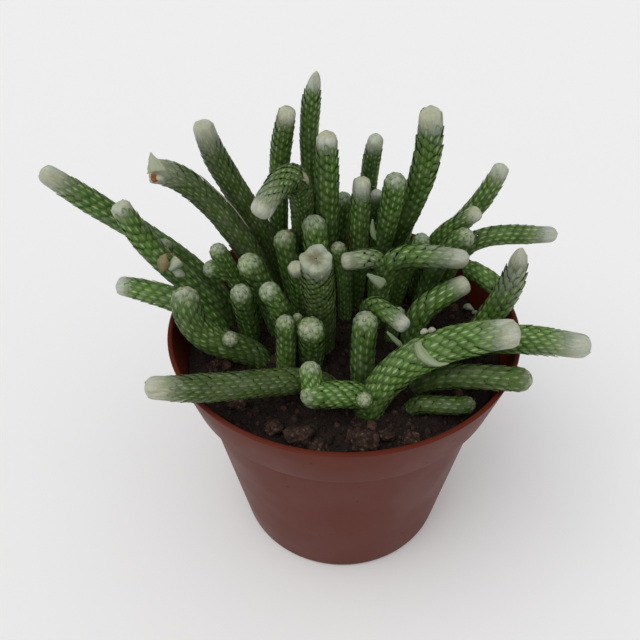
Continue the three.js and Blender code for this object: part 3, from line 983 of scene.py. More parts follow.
# %% Flower stubs and threads
def stub_shape(name, lip_paper, middle_paper, stain):
    """A papery tube with a crumpled, uneven lip, closed by paper that withers to a stain."""
    shape = Shape()
    # height, radius and unevenness, up the outside to the lip and then inwards to the middle
    outside = [(-0.2, 0.43, 0), (0, 0.47, 0), (0.35, 0.47, 0.02), (0.6, 0.465, 0.05), (0.8, 0.47, 0.09)]
    outside += [(0.92, 0.45, 0.11)]
    inside = [(0.98, 0.39, 0.12), (0.97, 0.29, 0.12), (0.92, 0.16, 0.08), (0.9, 0.02, 0)]
    sides = 24
    points = []
    for b, radius, uneven in outside + inside:
        for k in range(sides):
            turn = k * 2 * math.pi / sides
            wave = 0.7 * math.cos(4 * turn + 0.7) + 0.5 * math.sin(3 * turn + 1.9)
            wave += 0.45 * math.sin(7 * turn + 9 * radius)
            r = radius * (1 + uneven * 0.7 * wave)
            points.append((r * math.cos(turn), r * math.sin(turn), b * (1 + uneven * 0.75 * wave)))

    def outer(way):
        return 0.3 + (lip_paper - 0.3) * smooth(way, 0.0, 0.8)

    def inner(way):
        return middle_paper + (lip_paper - middle_paper) * smooth(way, 0.7, 0.8)

    def stained(way):
        return stain * (1 - smooth(way, 0.7, 0.8))

    # three grids that share their rows: up the outside, over the lip, and in to the middle
    shape.add_grid(points[: 6 * sides], [row[0] for row in outside], sides, outer, closed=True)
    shape.add_grid(points[5 * sides : 8 * sides], [1.0, 0.9, 0.8], sides, lip_paper, closed=True)
    shape.add_grid(points[7 * sides :], [0.8, 0.7, 0.6], sides, inner, dry=stained, closed=True)
    return shape.mesh(name)


def hair_shape():
    """A thin dry thread, one unit long, that leans outwards."""
    shape = Shape()
    ways, sides = (0, 0.4, 0.75, 1.0), 3
    points = []
    for way in ways:
        for k in range(sides):
            angle, thin = k * 2 * math.pi / sides, 0.02 * (1 - 0.8 * way)
            out, height = 0.45 + 0.5 * way, way - 0.35 * way * way
            points.append((out + thin * math.cos(angle), thin * math.sin(angle), height))
    shape.add_grid(points, ways, sides, 1.0, closed=True)
    return shape.mesh("thread")


tip_meshes["stub"] = stub_shape("stub", lip_paper=0.85, middle_paper=0.75, stain=0.0)
tip_meshes["bloom"] = stub_shape("bloom", lip_paper=0.6, middle_paper=0.3, stain=0.22)
shapes = {**scale_meshes, **tip_meshes, "thread": hair_shape()}
shapes = {name: link_object("shape_" + name, mesh) for name, mesh in shapes.items()}
print("shapes to repeat:", ", ".join(shapes))

# %% [markdown]
# ## Recipe for a shoot
# A shoot grows from its foot to its tip with scales all round. The scales could be placed by a loop in
# Python, but a node tree shows each rule as it works, and its inputs can be tried out. The tree is
# made in four steps. The first takes the inputs and draws the middle line: one Bézier curve, given by
# the foot, how it rises, the point that bends it and the tip. Two rules go with it: near the tip the
# shoot gets narrower by its taper, and its scales get whiter.

# %% Recipe: line and rules
LINE_STEPS = 48
# How far the taper runs down from the tip, in thicknesses
TAPER_LENGTH = 2.4

shoot_inputs = {
    "Foot": "Vector",
    "Rise": "Vector",
    "Bend": "Vector",
    "Tip": "Vector",
    "Thickness": "Float",
    "Foot width": "Float",
    "Bare foot": "Float",
    "Hood length": "Float",
    "Bare tip": "Float",
    "White length": "Float",
    "Whiteness": "Float",
    "Tip lean": "Float",
    "Taper": "Float",
    "Taper share": "Float",
    "Tone": "Float",
    "Spin": "Float",
    "Seed": "Int",
    "Step": "Float",
    "Turn": "Float",
    "Scale shape": "Object",
    "Tip shape": "Object",
    "Thread shape": "Object",
    "Material": "Material",
}
shoot_tree, nodes, given = new_tree("scaly shoot", shoot_inputs)
thick = given["Thickness"]
values = {"Resolution": LINE_STEPS, "Start": given["Foot"], "Start Handle": given["Rise"]}
values.update({"End Handle": given["Bend"], "End": given["Tip"]})
line = nodes.add("GeometryNodeCurvePrimitiveBezierSegment", {"mode": "POSITION"}, values)
length = nodes.add("GeometryNodeCurveLength", {}, {"Curve": line})


def whitening(to_tip):
    """How papery the shoot is at a distance from its tip: fully on the hood, fading below it."""
    return to_tip.ramp(given["Hood length"] * 0.5, given["White length"], 1.0, 0.0) * given["Whiteness"]


def girth(share, to_tip):
    """Its width as a share of its thickness: narrower at its foot and, by its taper, near its tip."""
    narrowing = 1 - given["Taper"] * to_tip.ramp(0.0, thick * TAPER_LENGTH, 1.0, 0.0)
    return share.ramp(0.0, 0.4, given["Foot width"], 1.0) * narrowing


print("inputs of a shoot:", len(shoot_inputs))

# %% [markdown]
# ## Recipe: core
# Under the scales a stem is a soft green rod. It has no UV map, so the skin gives it the dark green of a
# scale's root, which is painted shade where it shows between the scales. A circle is swept along the line
# for it, with a radius that closes over the tip like a quarter of an ellipse, so that nothing shows
# through between scales.

# %% Recipe: core
CORE_SIDES = 12


def store(points, name, value):
    """Writes a number on the points, for the material to read."""
    values = {"Geometry": points, "Name": name, "Value": value}
    return nodes.add("GeometryNodeStoreNamedAttribute", {"data_type": "FLOAT", "domain": "POINT"}, values)


walked = nodes.add("GeometryNodeSplineParameter").output("Length")
to_tip = length - walked
cap = thick * 0.5 + given["Hood length"] * 0.8
closing = (1 - (1 - to_tip / cap).math("MAXIMUM", 0.0) ** 2).math("MAXIMUM", 0.0) ** 0.5
core_radius = girth(walked / length, to_tip) * closing * thick * CORE_RADIUS
core_line = store(line, "papery", whitening(to_tip))
circle = nodes.add("GeometryNodeCurvePrimitiveCircle", {}, {"Resolution": CORE_SIDES, "Radius": 1.0})
values = {"Curve": core_line, "Profile Curve": circle, "Scale": core_radius, "Fill Caps": True}
core = nodes.add("GeometryNodeCurveToMesh", {}, values)
print("core: a circle of", CORE_SIDES, "sides swept along the line")

# %% [markdown]
# ## Recipe: scales
# Plants set their scales on a spiral. After 13 scales and 5 turns the next one stands over the first,
# which gives a stem 13 upright rows. Stems with finer scales have 21 rows, with 8 turns. So the tree
# walks along the line in small equal steps, from the bare foot to the hood, and sets one scale at
# each, turned on from the last. On a bend a straight scale would stand off outside and sink in inside,
# so each scale also leans as far as the line turns over its length.

# %% Recipe: scales
LEAF_TURN = math.radians(360 * 5 / 13)
FINE_TURN = math.radians(360 * 8 / 21)
# From one scale to the next along the line, in thicknesses
STEP = 0.03
FINE_STEP = 0.0148
# How much of the line's bend over a scale's length the scale follows
BEND_FOLLOWED = 0.6

values = {"Curve": line, "Start": given["Bare foot"], "End": length - given["Bare tip"]}
clothed = nodes.add("GeometryNodeTrimCurve", {"mode": "LENGTH"}, values)
values = {"Curve": clothed, "Length": thick * given["Step"]}
spaced = nodes.add("GeometryNodeCurveToPoints", {"mode": "LENGTH"}, values)
index = nodes.add("GeometryNodeInputIndex")
walked = given["Bare foot"] + index * thick * given["Step"]
to_tip = (length - walked).math("MAXIMUM", 0.0)
share = walked / length


def chance(low, high, seed):
    """A random number for each scale."""
    values = {"Min": low, "Max": high, "Seed": given["Seed"] + seed}
    return nodes.add("FunctionNodeRandomValue", {}, values)


# The turn: upright along the line, then round it by the spiral's angle.
tangent, normal = spaced.output("Tangent"), spaced.output("Normal")
values = {"Primary Axis": tangent, "Secondary Axis": normal}
upright = nodes.add("FunctionNodeAxesToRotation", {"primary_axis": "Z", "secondary_axis": "X"}, values)
values = {"Axis": (0, 0, 1), "Angle": index * given["Turn"] + given["Spin"] + chance(-0.05, 0.05, 1)}
spin = nodes.add("FunctionNodeAxisAngleToRotation", {}, values)
local = {"rotation_space": "LOCAL"}
turned_scale = nodes.add("FunctionNodeRotateRotation", local, {0: upright, 1: spin})

# The lean: by the line's turn towards or away from the scale, and inwards just below the hood.
values = {"Curves": line, "Length": walked + thick * SCALE_LENGTH}
ahead = nodes.add("GeometryNodeSampleCurve", {"mode": "LENGTH"}, values).output("Tangent")
bend = nodes.add("ShaderNodeVectorMath", {"operation": "SUBTRACT"}, {0: ahead, 1: tangent})
outward = nodes.add("FunctionNodeRotateVector", {}, {"Vector": (1, 0, 0), "Rotation": turned_scale})
values = {0: bend, 1: outward}
bend = nodes.add("ShaderNodeVectorMath", {"operation": "DOT_PRODUCT"}, values).output("Value")
near_tip = to_tip.ramp(given["Bare tip"], given["Bare tip"] + thick * 0.5, 1.0, 0.0)
lean = chance(-0.02, 0.03, 2) + bend * BEND_FOLLOWED - given["Tip lean"] * near_tip
lean = nodes.add("FunctionNodeAxisAngleToRotation", {}, {"Axis": (0, 1, 0), "Angle": lean})
turned_scale = nodes.add("FunctionNodeRotateRotation", local, {0: turned_scale, 1: lean})

# The size and the numbers for the material, and then the scales themselves.
wide = girth(share, to_tip) * thick * chance(0.98, 1.03, 3)
tall = thick * chance(0.9, 1.08, 4)
size = nodes.add("ShaderNodeCombineXYZ", {}, {"X": wide, "Y": wide, "Z": tall})
white = whitening(to_tip)
points = store(spaced, "papery", (white + chance(-0.05, 0.09, 5)).math("MAXIMUM", 0.0))
points = store(points, "tint", chance(0.0, 1.0, 6))
scale = nodes.add("GeometryNodeObjectInfo", {}, {"Object": given["Scale shape"]}).output("Geometry")
values = {"Points": points, "Instance": scale, "Rotation": turned_scale, "Scale": size}
scales = nodes.add("GeometryNodeInstanceOnPoints", {}, values)
print("rows of scales: 13, or 21 on the stems with finer ones")

# %% [markdown]
# ## Recipe: tip and threads
# The shape of the tip stands on the line where the hood or dome begins, and is stretched to reach the
# line's end. A dry thread grows beside a few of the scales, chosen at random from a fixed seed. Then
# everything is joined, made real and given its material, and the recipe is complete.

# %% Recipe: tip and threads
THREADED_SHARE = 0.07
# In thicknesses
THREAD_LENGTH = 0.5

values = {"Curves": line, "Length": length - given["Hood length"]}
sample = nodes.add("GeometryNodeSampleCurve", {"mode": "LENGTH"}, values)
hood_start = sample.output("Position")
reach = nodes.add("ShaderNodeVectorMath", {"operation": "SUBTRACT"}, {0: given["Tip"], 1: hood_start})
upright = nodes.add("FunctionNodeAlignRotationToVector", {"axis": "Z"}, {"Vector": reach})
values = {"Axis": (0, 0, 1), "Angle": given["Spin"] * 3}
spin = nodes.add("FunctionNodeAxisAngleToRotation", {}, values)
upright = nodes.add("FunctionNodeRotateRotation", local, {0: upright, 1: spin})
wide = thick * (1 - given["Taper"] * given["Taper share"])
size = nodes.add("ShaderNodeCombineXYZ", {}, {"X": wide, "Y": wide, "Z": given["Hood length"]})
seat = nodes.add("GeometryNodePoints", {}, {"Count": 1, "Position": hood_start})
seat = store(seat, "tint", 0.5)
tip_piece = nodes.add("GeometryNodeObjectInfo", {}, {"Object": given["Tip shape"]}).output("Geometry")
values = {"Points": seat, "Instance": tip_piece, "Rotation": upright, "Scale": size}
tip_set = nodes.add("GeometryNodeInstanceOnPoints", {}, values)

few = chance(0.0, 1.0, 7).math("LESS_THAN", THREADED_SHARE)
thread = nodes.add("GeometryNodeObjectInfo", {}, {"Object": given["Thread shape"]}).output("Geometry")
values = {"Points": points, "Selection": few, "Instance": thread, "Rotation": turned_scale}
values["Scale"] = thick * THREAD_LENGTH
threads = nodes.add("GeometryNodeInstanceOnPoints", {}, values)

everything = nodes.add("GeometryNodeJoinGeometry", {}, {"Geometry": [core, scales, tip_set, threads]})
everything = store(everything, "tone", given["Tone"])
end_tree(nodes, [everything], given["Material"])
print("recipe for a shoot with", len(shoot_tree.nodes), "nodes")

# %% [markdown]
# ## Stems
# Each stem of the real plant stands by itself in the soil and bends its own way, so no rule places them.
# The list gives, in millimetres, each shoot's foot, rise, bend, tip and thickness. After the form of its
# tip come two lengths in thicknesses: how long the papery hood is, with 0 for a young tip that is a scaly
# dome, and how far the whitening runs down from the tip.
# A stem can have several shoots, and a side shoot starts inside the first one, with a foot of three
# numbers. Some thick stems have finer scales, and some are more olive; on the few that stand in shade,
# the olive is partly painted shade.

# %% Stems
# The height of a foot that stands in the soil, a little under the soil's top
FOOT_LEVEL = 52
STEMS = {
    "stem_01": [
        [(-29, 14), 18, (-56, 18, 83), (-68, 12.5, 100), 6, "hood", 0.95, 2],
        [(-45, 14.2, 75), 3, (-43.6, 13.2, 77.5), (-43.6, 13, 80.2), 4.4, "hood", 0, 0.7],
    ],
    "stem_02": [[(-29, 8), 15, (-44, 6, 73), (-50.5, 7, 94.5), 6, "hood", 0.45, 1.0]],
    "stem_03": [[(-29, -0.5), 18, (-40, -1, 74), (-54, 3, 74.5), 6, "hood", 0.7, 1.1]],
    "stem_04": [[(-17.5, 13), 18, (-32, 14, 100), (-42.5, 9.5, 101), 6.4, "stub", 0.6, 1.4]],
    "stem_05": [[(-15.5, 22), 25, (-30, 21.5, 91), (-32, 20.5, 107.5), 6.4, "hood", 0.75, 1.8]],
    "stem_06": [[(-10, 21), 30, (-6, 12, 112), (-18.5, -3, 96.5), 6.2, "hood", 0.6, 1.6]],
    "stem_07": [[(-5, 29), 20, (-10.5, 25.5, 97.5), (-5.5, 19, 119), 4.6, "point", 1.1, 1.7]],
    "stem_08": [[(-16.5, 28), 24, (-16, 26, 95), (-12, 18, 111), 5.2, "hood", 0.7, 1.5]],
    "stem_09": [[(-3.5, 18), 26, (-3.5, 17, 91), (-3.5, 12.5, 107.5), 6, "hood", 0.5, 1.1]],
    "stem_10": [[(-5, 8), 16, (-6, 9, 78), (-6.9, 9, 89), 6.2, "hood", 0, 1.1]],
    "stem_11": [[(-11, 11), 14, (-13, 12, 74), (-14.2, 12, 83), 6.2, "hood", 0, 1]],
    "stem_12": [
        [(-22, 8), 14, (-28, 8, 74), (-30, 6.5, 83), 4.6, "hood", 0, 0.8],
        [(-26.5, 8, 71), 2, (-31, 8, 75.5), (-33.5, 6.5, 76.5), 5, "hood", 0, 0.9],
    ],
    "stem_13": [[(-16, 4), 14, (-20, 3, 76), (-22.5, 0.5, 83.5), 6.2, "hood", 0, 1]],
    "stem_14": [[(-23, 1), 14, (-24, -3, 72), (-23.5, -5, 79), 5.4, "hood", 0, 0.9]],
    "stem_15": [[(-12.8, -4.6), 14, (-14, -5.6, 74), (-17.5, -8.5, 82), 5.3, "hood", 0, 1]],
    "stem_16": [
        [(-19, -6), 16, (-38, -11, 60), (-36, -5, 79.5), 7.2, "hood", 0, 0.9],
        [(-27, -8.4, 65), 2, (-26, -11, 68.6), (-26, -11.7, 70), 4.2, "hood", 0, 0.9],
    ],
    "stem_17": [
        [(-2, -15), 14, (-22, -29, 69), (-41, -31, 74.5), 6.2, "hood", 0.9, 1.7],
        [(-16, -23, 65), 2, (-16, -24, 68), (-16, -24, 69.5), 3.6, "hood", 0, 0.9],
    ],
    "stem_18": [
        [(-14, -12), 12, (-13, -11, 69), (-13.5, -11, 75.5), 4.8, "hood", 0, 1],
        [(-12.8, -10.9, 67), 2, (-10.9, -9.9, 71), (-10.5, -8.6, 74.4), 2.6, "hood", 0, 0.9],
    ],
    "stem_19": [[(-8, -8), 14, (-7, -12, 71), (-8, -14.5, 76), 6.4, "hood", 0, 1.1]],
    "stem_20": [
        [(4.6, -23.8), 13, (10.8, -21.3, 77.3), (35.8, -21.5, 79), 7.8, "hood", 0.8, 1.5],
        [(4.6, -23.8, 58), 8, (0, -25.5, 65), (-10, -26, 66), 6.2, "hood", 0, 0.9],
        [(-7, -25.6, 64.2), 2, (-8, -23, 68.4), (-8, -22, 72), 5.2, "hood", 0, 1],
        [(4.2, -25.2, 62.6), 2, (3.4, -28.3, 65.6), (3.2, -28.3, 67.2), 3.8, "hood", 0, 0.9],
    ],
    "stem_21": [
        [(9, 6.5), 32, (10, 2, 83), (29.5, 3.5, 80), 5.8, "hood", 1.1, 2.6],
        [(9, 6, 64), 20, (8, 1.5, 81.5), (-0.5, 2.5, 80.5), 5.4, "hood", 0.6, 2.2],
    ],
    "stem_22": [[(17, -1), 16, (17, -1, 69), (30, 2, 74.5), 6.2, "hood", 0.65, 1.3]],
    "stem_23": [
        [(32, 1), 11, (40.5, -1, 66.5), (39, -3, 87.5), 6.4, "point", 0.8, 3.4],
        [(38.5, -1.5, 72.5), 1, (34, 5.5, 74.5), (31, 10.5, 72.5), 5, "hood", 0, 0.6],
    ],
    "stem_24": [[(27, 18), 30, (38.5, 18.5, 76.5), (55, 18, 77), 5.2, "hood", 1.0, 2.2]],
    "stem_25": [[(17.5, 23), 17, (34.5, 21, 76), (39, 21.5, 95), 5.2, "hood", 0.7, 1.5]],
    "stem_26": [[(20.5, 18), 23, (25, 16.5, 78.5), (33, 13.5, 87), 5, "hood", 0.6, 1.2]],
    "stem_27": [[(21, 13), 15, (24.5, 12, 78), (30.9, 9, 83.5), 5.6, "hood", 0, 0.9]],
    "stem_28": [[(11, 28), 18, (22.5, 17, 88), (18, 9, 114.2), 6.4, "hood", 0.75, 1.5]],
    "stem_29": [[(9, 20), 20, (12, 14, 84), (12, 10.5, 98.5), 5.6, "hood", 0, 0.6]],
    "stem_30": [[(7, 32), 24, (7, 27, 91), (8, 19.5, 103.5), 4.6, "hood", 0.9, 1.8]],
    "stem_31": [[(4, 15), 22, (4.5, 14, 86), (4.5, 12, 97), 5.2, "hood", 0.8, 1.6]],
    "stem_32": [[(5, 25), 18, (7, 20, 80), (9, 18.5, 90), 3.8, "hood", 0.6, 1.2]],
    "stem_33": [[(-2, 24), 16, (0.5, 25, 78), (1, 25, 86), 5.2, "hood", 0, 1]],
    "stem_34": [[(1, 9), 16, (1, 9, 74), (-1.5, 8.5, 81.7), 4.2, "hood", 0, 1.1]],
    "stem_35": [[(-5, -2), 20, (-6, -10, 82), (-6.2, -15.5, 94.5), 7.3, "bloom", 0.42, 1.0]],
    "stem_36": [[(-10, 2), 16, (-10, 0, 76), (-11, -2.5, 83.5), 4.8, "hood", 0.5, 1.1]],
    "stem_37": [[(4, -14), 14, (4, -13, 71), (4.6, -13, 77.7), 6, "hood", 0, 1]],
    "stem_38": [[(6, -3.5), 24, (3.5, -7, 79), (13.5, -15, 75), 4.8, "hood", 0.7, 1.4]],
    "stem_39": [[(23, -8), 16, (35.5, -15, 73), (52.5, -20, 73), 6.8, "hood", 0.95, 1.8]],
    "stem_40": [[(16, -16), 12, (26, -26, 71), (38.5, -27, 70.5), 5.6, "hood", 0, 0.6]],
    "stem_41": [[(14, -22), 11, (20, -28, 62), (28, -25.5, 62), 4.4, "hood", 0, 0.8]],
    "stem_42": [[(12, 0), 12, (13, 1, 64), (14, 0, 68), 3.8, "hood", 0, 1]],
    "stem_43": [[(14, 13), 16, (18, 12, 76), (20, 11, 82), 4.5, "hood", 0, 0.9]],
    "stem_44": [[(-20, 25), 17, (-25.5, 31, 69), (-30.3, 33.5, 73.5), 4.8, "hood", 0.8, 1.4]],
    "stem_45": [[(16, 28.5), 14, (19, 35, 72), (22, 38, 78), 4.6, "hood", 0, 1]],
    "stem_46": [[(-8, 32), 19, (-5, 40, 73), (-8, 44.4, 75), 4.2, "hood", 0.8, 1.3]],
}
FINE_STEMS = {"stem_04", "stem_05", "stem_06", "stem_16", "stem_17", "stem_20", "stem_35", "stem_39"}
# How olive a stem is, from 0 to 1. For stem_17, stem_40 and stem_41, which stand in shade, the number is
# partly painted shade that darkens them.
OLIVE_AND_SHADED_STEMS = {
    "stem_04": 0.9,
    "stem_05": 0.85,
    "stem_06": 0.6,
    "stem_16": 0.5,
    "stem_17": 0.9,
    "stem_35": 0.75,
    "stem_40": 0.85,
    "stem_41": 0.8,
}
print(len(STEMS), "stems with", sum(len(shoots) for shoots in STEMS.values()), "shoots")

# %% [markdown]
# ## Numbers of a shoot
# The list says what differs from shoot to shoot. The recipe has more inputs, and most of them follow
# a rule, such as where the scales end under a hood or how olive a stem without an entry is. They could
# be columns of the list too, but a rule is shorter and keeps the stems alike.

# %% Numbers of a shoot
# How far the scales below the tip lean inwards, and by what share the shoot gets narrower
TIP_LEAN = {"hood": 0.06, "point": 0.1, "stub": 0.0, "bloom": 0.0}
TAPER = {"hood": 0.2, "point": 0.5, "stub": 0.08, "bloom": 0.08}
# How papery the scales just below a hood are, and how far under it the last of them starts
WHITENESS = 0.62
BELOW_HOOD = 0.12
# A dome's length and how far under the tip the last scales start, in thicknesses, and its shares
DOME = {"length": 0.5, "bare": 0.82, "taper": 0.04, "whiteness": 0.4}
# The width of a foot in the soil, as a share of the thickness
FOOT_WIDTH = 0.8
# The length without scales, in mm
BARE_FOOT = {"in the soil": 4.5, "on a stem": 1.5}
MOST_TONE = 0.35
# From one shoot to the next, the spiral starts at another angle and chance at another seed
SPIN_STEP = 1.7
SEED_STEP = 20


def stem_tone(node):
    """How olive a stem is, which for a few stems in shade is partly painted shade: some by the list, the
    others a little, each by its own amount.
    """
    number = int(node[-2:])
    return OLIVE_AND_SHADED_STEMS.get(node, MOST_TONE * ((number * 37) % 10) / 10)


def shoot_values(number, foot, rise, bend, tip, thickness, form, hood, white, tone, fine):
    """What the recipe needs to know about a shoot, in metres."""
    in_soil = len(foot) == 2
    start = Vector((*foot, FOOT_LEVEL)) if in_soil else Vector(foot)
    tip_length = hood or DOME["length"]
    return {
        "Foot": start * MM,
        "Rise": (start + Vector((0, 0, rise))) * MM,
        "Bend": Vector(bend) * MM,
        "Tip": Vector(tip) * MM,
        "Thickness": thickness * MM,
        "Foot width": FOOT_WIDTH if in_soil else 1.0,
        "Bare foot": BARE_FOOT["in the soil" if in_soil else "on a stem"] * MM,
        "Hood length": tip_length * thickness * MM,
        "Bare tip": (hood + BELOW_HOOD if hood else DOME["bare"]) * thickness * MM,
        "White length": white * thickness * MM,
        "Whiteness": WHITENESS if hood else DOME["whiteness"],
        "Tip lean": TIP_LEAN[form],
        "Taper": TAPER[form] if hood else DOME["taper"],
        "Taper share": 1 - tip_length / TAPER_LENGTH,
        "Tone": float(tone),
        "Spin": float(number * SPIN_STEP),
        "Seed": number * SEED_STEP,
        "Step": FINE_STEP if fine else STEP,
        "Turn": FINE_TURN if fine else LEAF_TURN,
        "Scale shape": shapes["fine_scale" if fine else "scale"],
        "Tip shape": shapes[form if hood else "dome"],
        "Thread shape": shapes["thread"],
        "Material": skin,
    }


first_shoot = shoot_values(1, *STEMS["stem_01"][0], stem_tone("stem_01"), fine=False)
rounded_values = {key: round(v, 4) for key, v in first_shoot.items() if isinstance(v, float)}
print("first shoot:", rounded_values)

# %% [markdown]
# ## Growing the stems
# The recipe runs once for each shoot. The side shoots of the real plant grow out of their stem, so all
# shoots of a stem are joined into one piece, which stands for the stem's node. They could be united by
# a Boolean, but they only have to overlap, and the join keeps every scale.

# %% Growing the stems
def joined(pieces):
    """Several objects as one."""
    if len(pieces) > 1:
        with bpy.context.temp_override(active_object=pieces[0], selected_editable_objects=pieces):
            bpy.ops.object.join()
    return pieces[0]


number = 0
total = 0
for node, shoots in STEMS.items():
    tone = stem_tone(node)
    grown = []
    for k, shoot in enumerate(shoots):
        number += 1
        values = shoot_values(number, *shoot, tone, node in FINE_STEMS)
        grown.append(run_tree(shoot_tree, f"leafy_{node}_{k}", values))
    stem = joined(grown)
    stem.name = stem.data.name = "leafy_" + node
    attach(stem, "root")
    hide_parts(node)
    total += len(stem.data.polygons)
for shape in shapes.values():
    bpy.data.objects.remove(shape)
print("grown:", number, "shoots,", total, "faces")

# %% [markdown]
# ## Loose paper
# Old papery scales come loose and curl, and a withered petal or two stays stuck between the stems.
# A cloth simulation could crumple them, but not where the picture shows them. So each is a strip of
# paper, given as a middle line with a width at each of its points, the way that it faces, how much it
# curls across, and how papery and how withered it is.

# %% Loose paper
FLAKES = [
    # x, y, z and width at points of the middle line in mm, facing, curl, papery, dry
    ([(-41.0, 3.4, 83.0, 0.3), (-41.8, 3.1, 81.6, 2.2), (-42.2, 3.0, 80.1, 2.8), (-42.8, 3.3, 77.8, 0.3)],
     (0.1, -0.8, 0.5), 0.3, 0.5, 0.5),
    ([(-41.1, 3.3, 78.4, 0.8), (-39.7, 3.1, 79.9, 2.2), (-38.2, 3.4, 81.2, 2.6)],
     (0.3, -0.75, 0.6), 0.6, 0.75, 0.0),
    ([(-40.2, 3.9, 77.9, 0.8), (-38.9, 3.7, 77.0, 2.2), (-37.9, 4.2, 75.9, 0.9)],
     (0.4, -0.7, 0.5), 0.8, 0.75, 0.0),
    ([(-41.2, 4.3, 82.4, 0.2), (-39.2, 4.5, 81.6, 0.2), (-37.4, 4.6, 79.2, 0.1)],
     (0.3, -0.8, 0.5), 0.1, 0.3, 0.9),
    ([(-41.3, 7.8, 106.2, 0.2), (-41.1, 7.6, 104.4, 2.6), (-40.5, 7.3, 101.8, 5.2)],
     (-0.3, -0.8, 0.45), 0.2, 0.85, 0.0),
    ([(-42.0, 6.8, 101.0, 1.2), (-41.3, 6.2, 100.9, 2.2), (-40.4, 6.3, 100.7, 1.0)],
     (-0.2, -0.9, 0.2), 0.3, 0.1, 1.0),
    ([(-40.7, 6.2, 101.1, 0.7), (-39.9, 6.0, 101.0, 1.2), (-39.2, 6.2, 100.7, 0.5)],
     (0.0, -0.9, 0.3), 0.3, 0.9, 0.15),
    ([(5.4, -0.9, 79.4, 0.6), (7.4, -1.1, 77.9, 2.0), (9.3, -0.9, 75.9, 3.0)],
     (0.1, -0.85, 0.5), 0.3, 0.5, 0.0),
    ([(7.0, 8.5, 88.3, 0.3), (7.0, 8.3, 86.3, 1.1), (7.4, 8.3, 84.1, 1.3), (8.0, 8.6, 82.3, 0.3)],
     (0.3, -0.85, 0.5), 0.3, 0.3, 0.0),
    ([(14.4, -22.8, 78.0, 1.4), (14.8, -24.7, 77.0, 2.4), (16.1, -25.7, 75.9, 2.2),
      (18.2, -26.3, 75.0, 1.2), (20.9, -25.7, 74.6, 0.2)],
     (-0.35, -0.75, 0.55), 0.4, 0.48, 0.0),
    ([(8.7, -17.5, 76.3, 0.3), (10.1, -17.7, 74.6, 1.0), (11.5, -17.9, 73.0, 1.1),
      (12.5, -18.0, 71.4, 0.4)],
     (-0.3, -0.8, 0.5), 0.4, 0.4, 0.0),
    ([(15.4, -20.4, 78.2, 0.5), (16.1, -20.4, 78.9, 1.3), (16.9, -20.4, 78.8, 0.4)],
     (0.0, -0.7, 0.7), 0.6, 0.8, 0.15),
    ([(17.0, -20.4, 78.7, 0.5), (17.7, -20.4, 79.3, 1.2), (18.4, -20.4, 79.1, 0.4)],
     (0.1, -0.7, 0.7), 0.6, 0.8, 0.25),
    ([(32.2, 11.2, 59.2, 0.7), (33.4, 10.6, 60.0, 1.8), (34.8, 9.8, 59.2, 0.5)],
     (-0.1, -0.5, 0.85), 0.6, 0.9, 0.1),
    ([(34.2, 9.0, 59.0, 0.5), (35.2, 8.8, 59.5, 1.1), (36.0, 8.2, 59.0, 0.4)],
     (0.1, -0.5, 0.85), 0.6, 0.85, 0.2),
    ([(-8.9, 7.6, 101.2, 0.3), (-8.1, 7.2, 99.9, 1.1), (-7.7, 7.5, 98.2, 0.3)],
     (0.6, -0.7, 0.3), 0.5, 0.7, 0.35),
    ([(-9.8, 7.4, 99.9, 0.2), (-8.6, 6.9, 99.6, 0.6), (-7.6, 7.4, 99.4, 0.2)],
     (0.4, -0.8, 0.4), 0.5, 0.7, 0.3),
    ([(-30.9, 10.0, 98.0, 0.15), (-26.2, 10.2, 92.4, 0.25), (-22.0, 9.6, 85.5, 0.15)],
     (-0.3, -0.8, 0.4), 0.1, 0.6, 0.2),
]
print("strips of loose paper:", len(FLAKES))

# %% [markdown]
# ## Laying the paper down
# A smooth curve through a strip's points carries its width along, and a few columns of points go
# across it, bent by the curl. A noise makes the edges ragged. All strips become one mesh, and a thin
# Solidify gives it two sides, because a single sheet would have no thickness on the outline.

# %% Laying the paper down
STRIP_COLUMNS = 5
STRIP_STEPS = 4
RAGGED = 0.3
PAPER_THICKNESS = 0.12


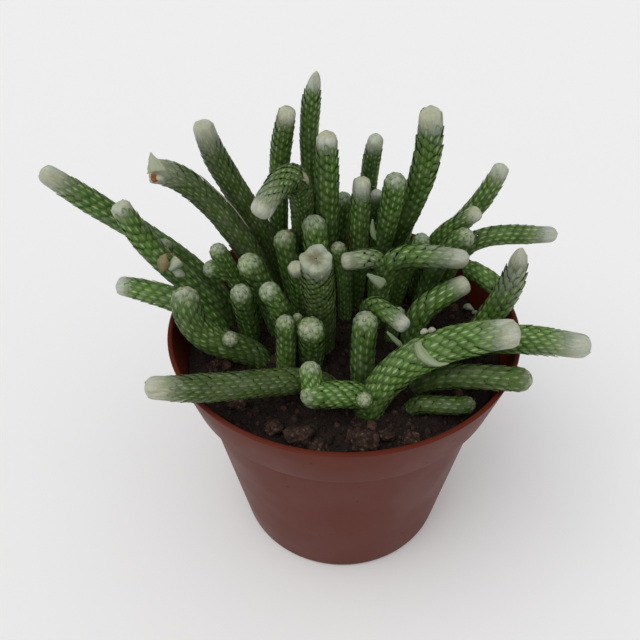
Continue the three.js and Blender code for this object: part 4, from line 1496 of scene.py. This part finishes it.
def on_line(points, k, t):
    """Numbers along a smooth line through rows of numbers, t of the way from row k to the next one."""
    a, b, c, d = (np.array(points[min(max(i, 0), len(points) - 1)]) for i in range(k - 1, k + 3))
    slopes = (c - a) * t + (2 * a - 5 * b + 4 * c - d) * t**2 + (3 * b - 3 * c + d - a) * t**3
    return 0.5 * (2 * b + slopes)


flake_shape = Shape()
for number, (strip, facing, curl, papery, dry) in enumerate(FLAKES):
    away = Vector(facing).normalized()
    stations = [(k, t / STRIP_STEPS) for k in range(len(strip) - 1) for t in range(STRIP_STEPS)]
    stations.append((len(strip) - 2, 1.0))
    points = []
    for k, t in stations:
        *middle, wide = on_line(strip, k, t)
        middle = Vector(middle)
        ahead = Vector((on_line(strip, k, t + 0.05) - on_line(strip, k, t - 0.05))[:3])
        side = ahead.cross(away).normalized()
        for column in range(STRIP_COLUMNS):
            u = column / (STRIP_COLUMNS - 1) * 2 - 1
            ragged = 1 + RAGGED * noise.noise(middle * 1.1 + Vector((number * 9, u * 3, 0)))
            dip = curl * wide * (0.5 * u * u - 0.12) + 0.12 * noise.noise(middle * 0.9 + side * u * 2)
            points.append((middle + side * (u * wide / 2 * ragged) - away * dip) * MM)
    # the strip takes its colours from the part of a scale that lies between its root and its edge, so its
    # green carries the painted shade of a scale's root at one end and the fleck of painted highlight
    # nearer the other
    ways = [0.3 + 0.5 * i / (len(stations) - 1) for i in range(len(stations))]
    flake_shape.add_grid([tuple(p) for p in points], ways, STRIP_COLUMNS, papery, dry=dry)
flakes = link_object("loose_paper", flake_shape.mesh("loose_paper"))
flakes.data.materials.append(skin)
flakes.data.shade_smooth()
sheet = flakes.modifiers.new("two sides", "SOLIDIFY")
sheet.thickness, sheet.offset = PAPER_THICKNESS * MM, 0
flake_mesh = evaluated_mesh(flakes)
flakes.modifiers.remove(sheet)
flakes.data = flake_mesh
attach(flakes, "root")
print("loose paper:", len(flakes.data.polygons), "faces")

# %% [markdown] ## Triangles The triangles of the dressed plant are counted, without the floor.
# The dressed plant has to fit the box of the CAD model.

# %% Finish
triangles = 0
for piece in scene.objects:
    if piece.type == "MESH" and not piece.hide_render and piece is not floor:
        triangles += sum(len(p.vertices) - 2 for p in piece.data.polygons)
print("triangles:", triangles)
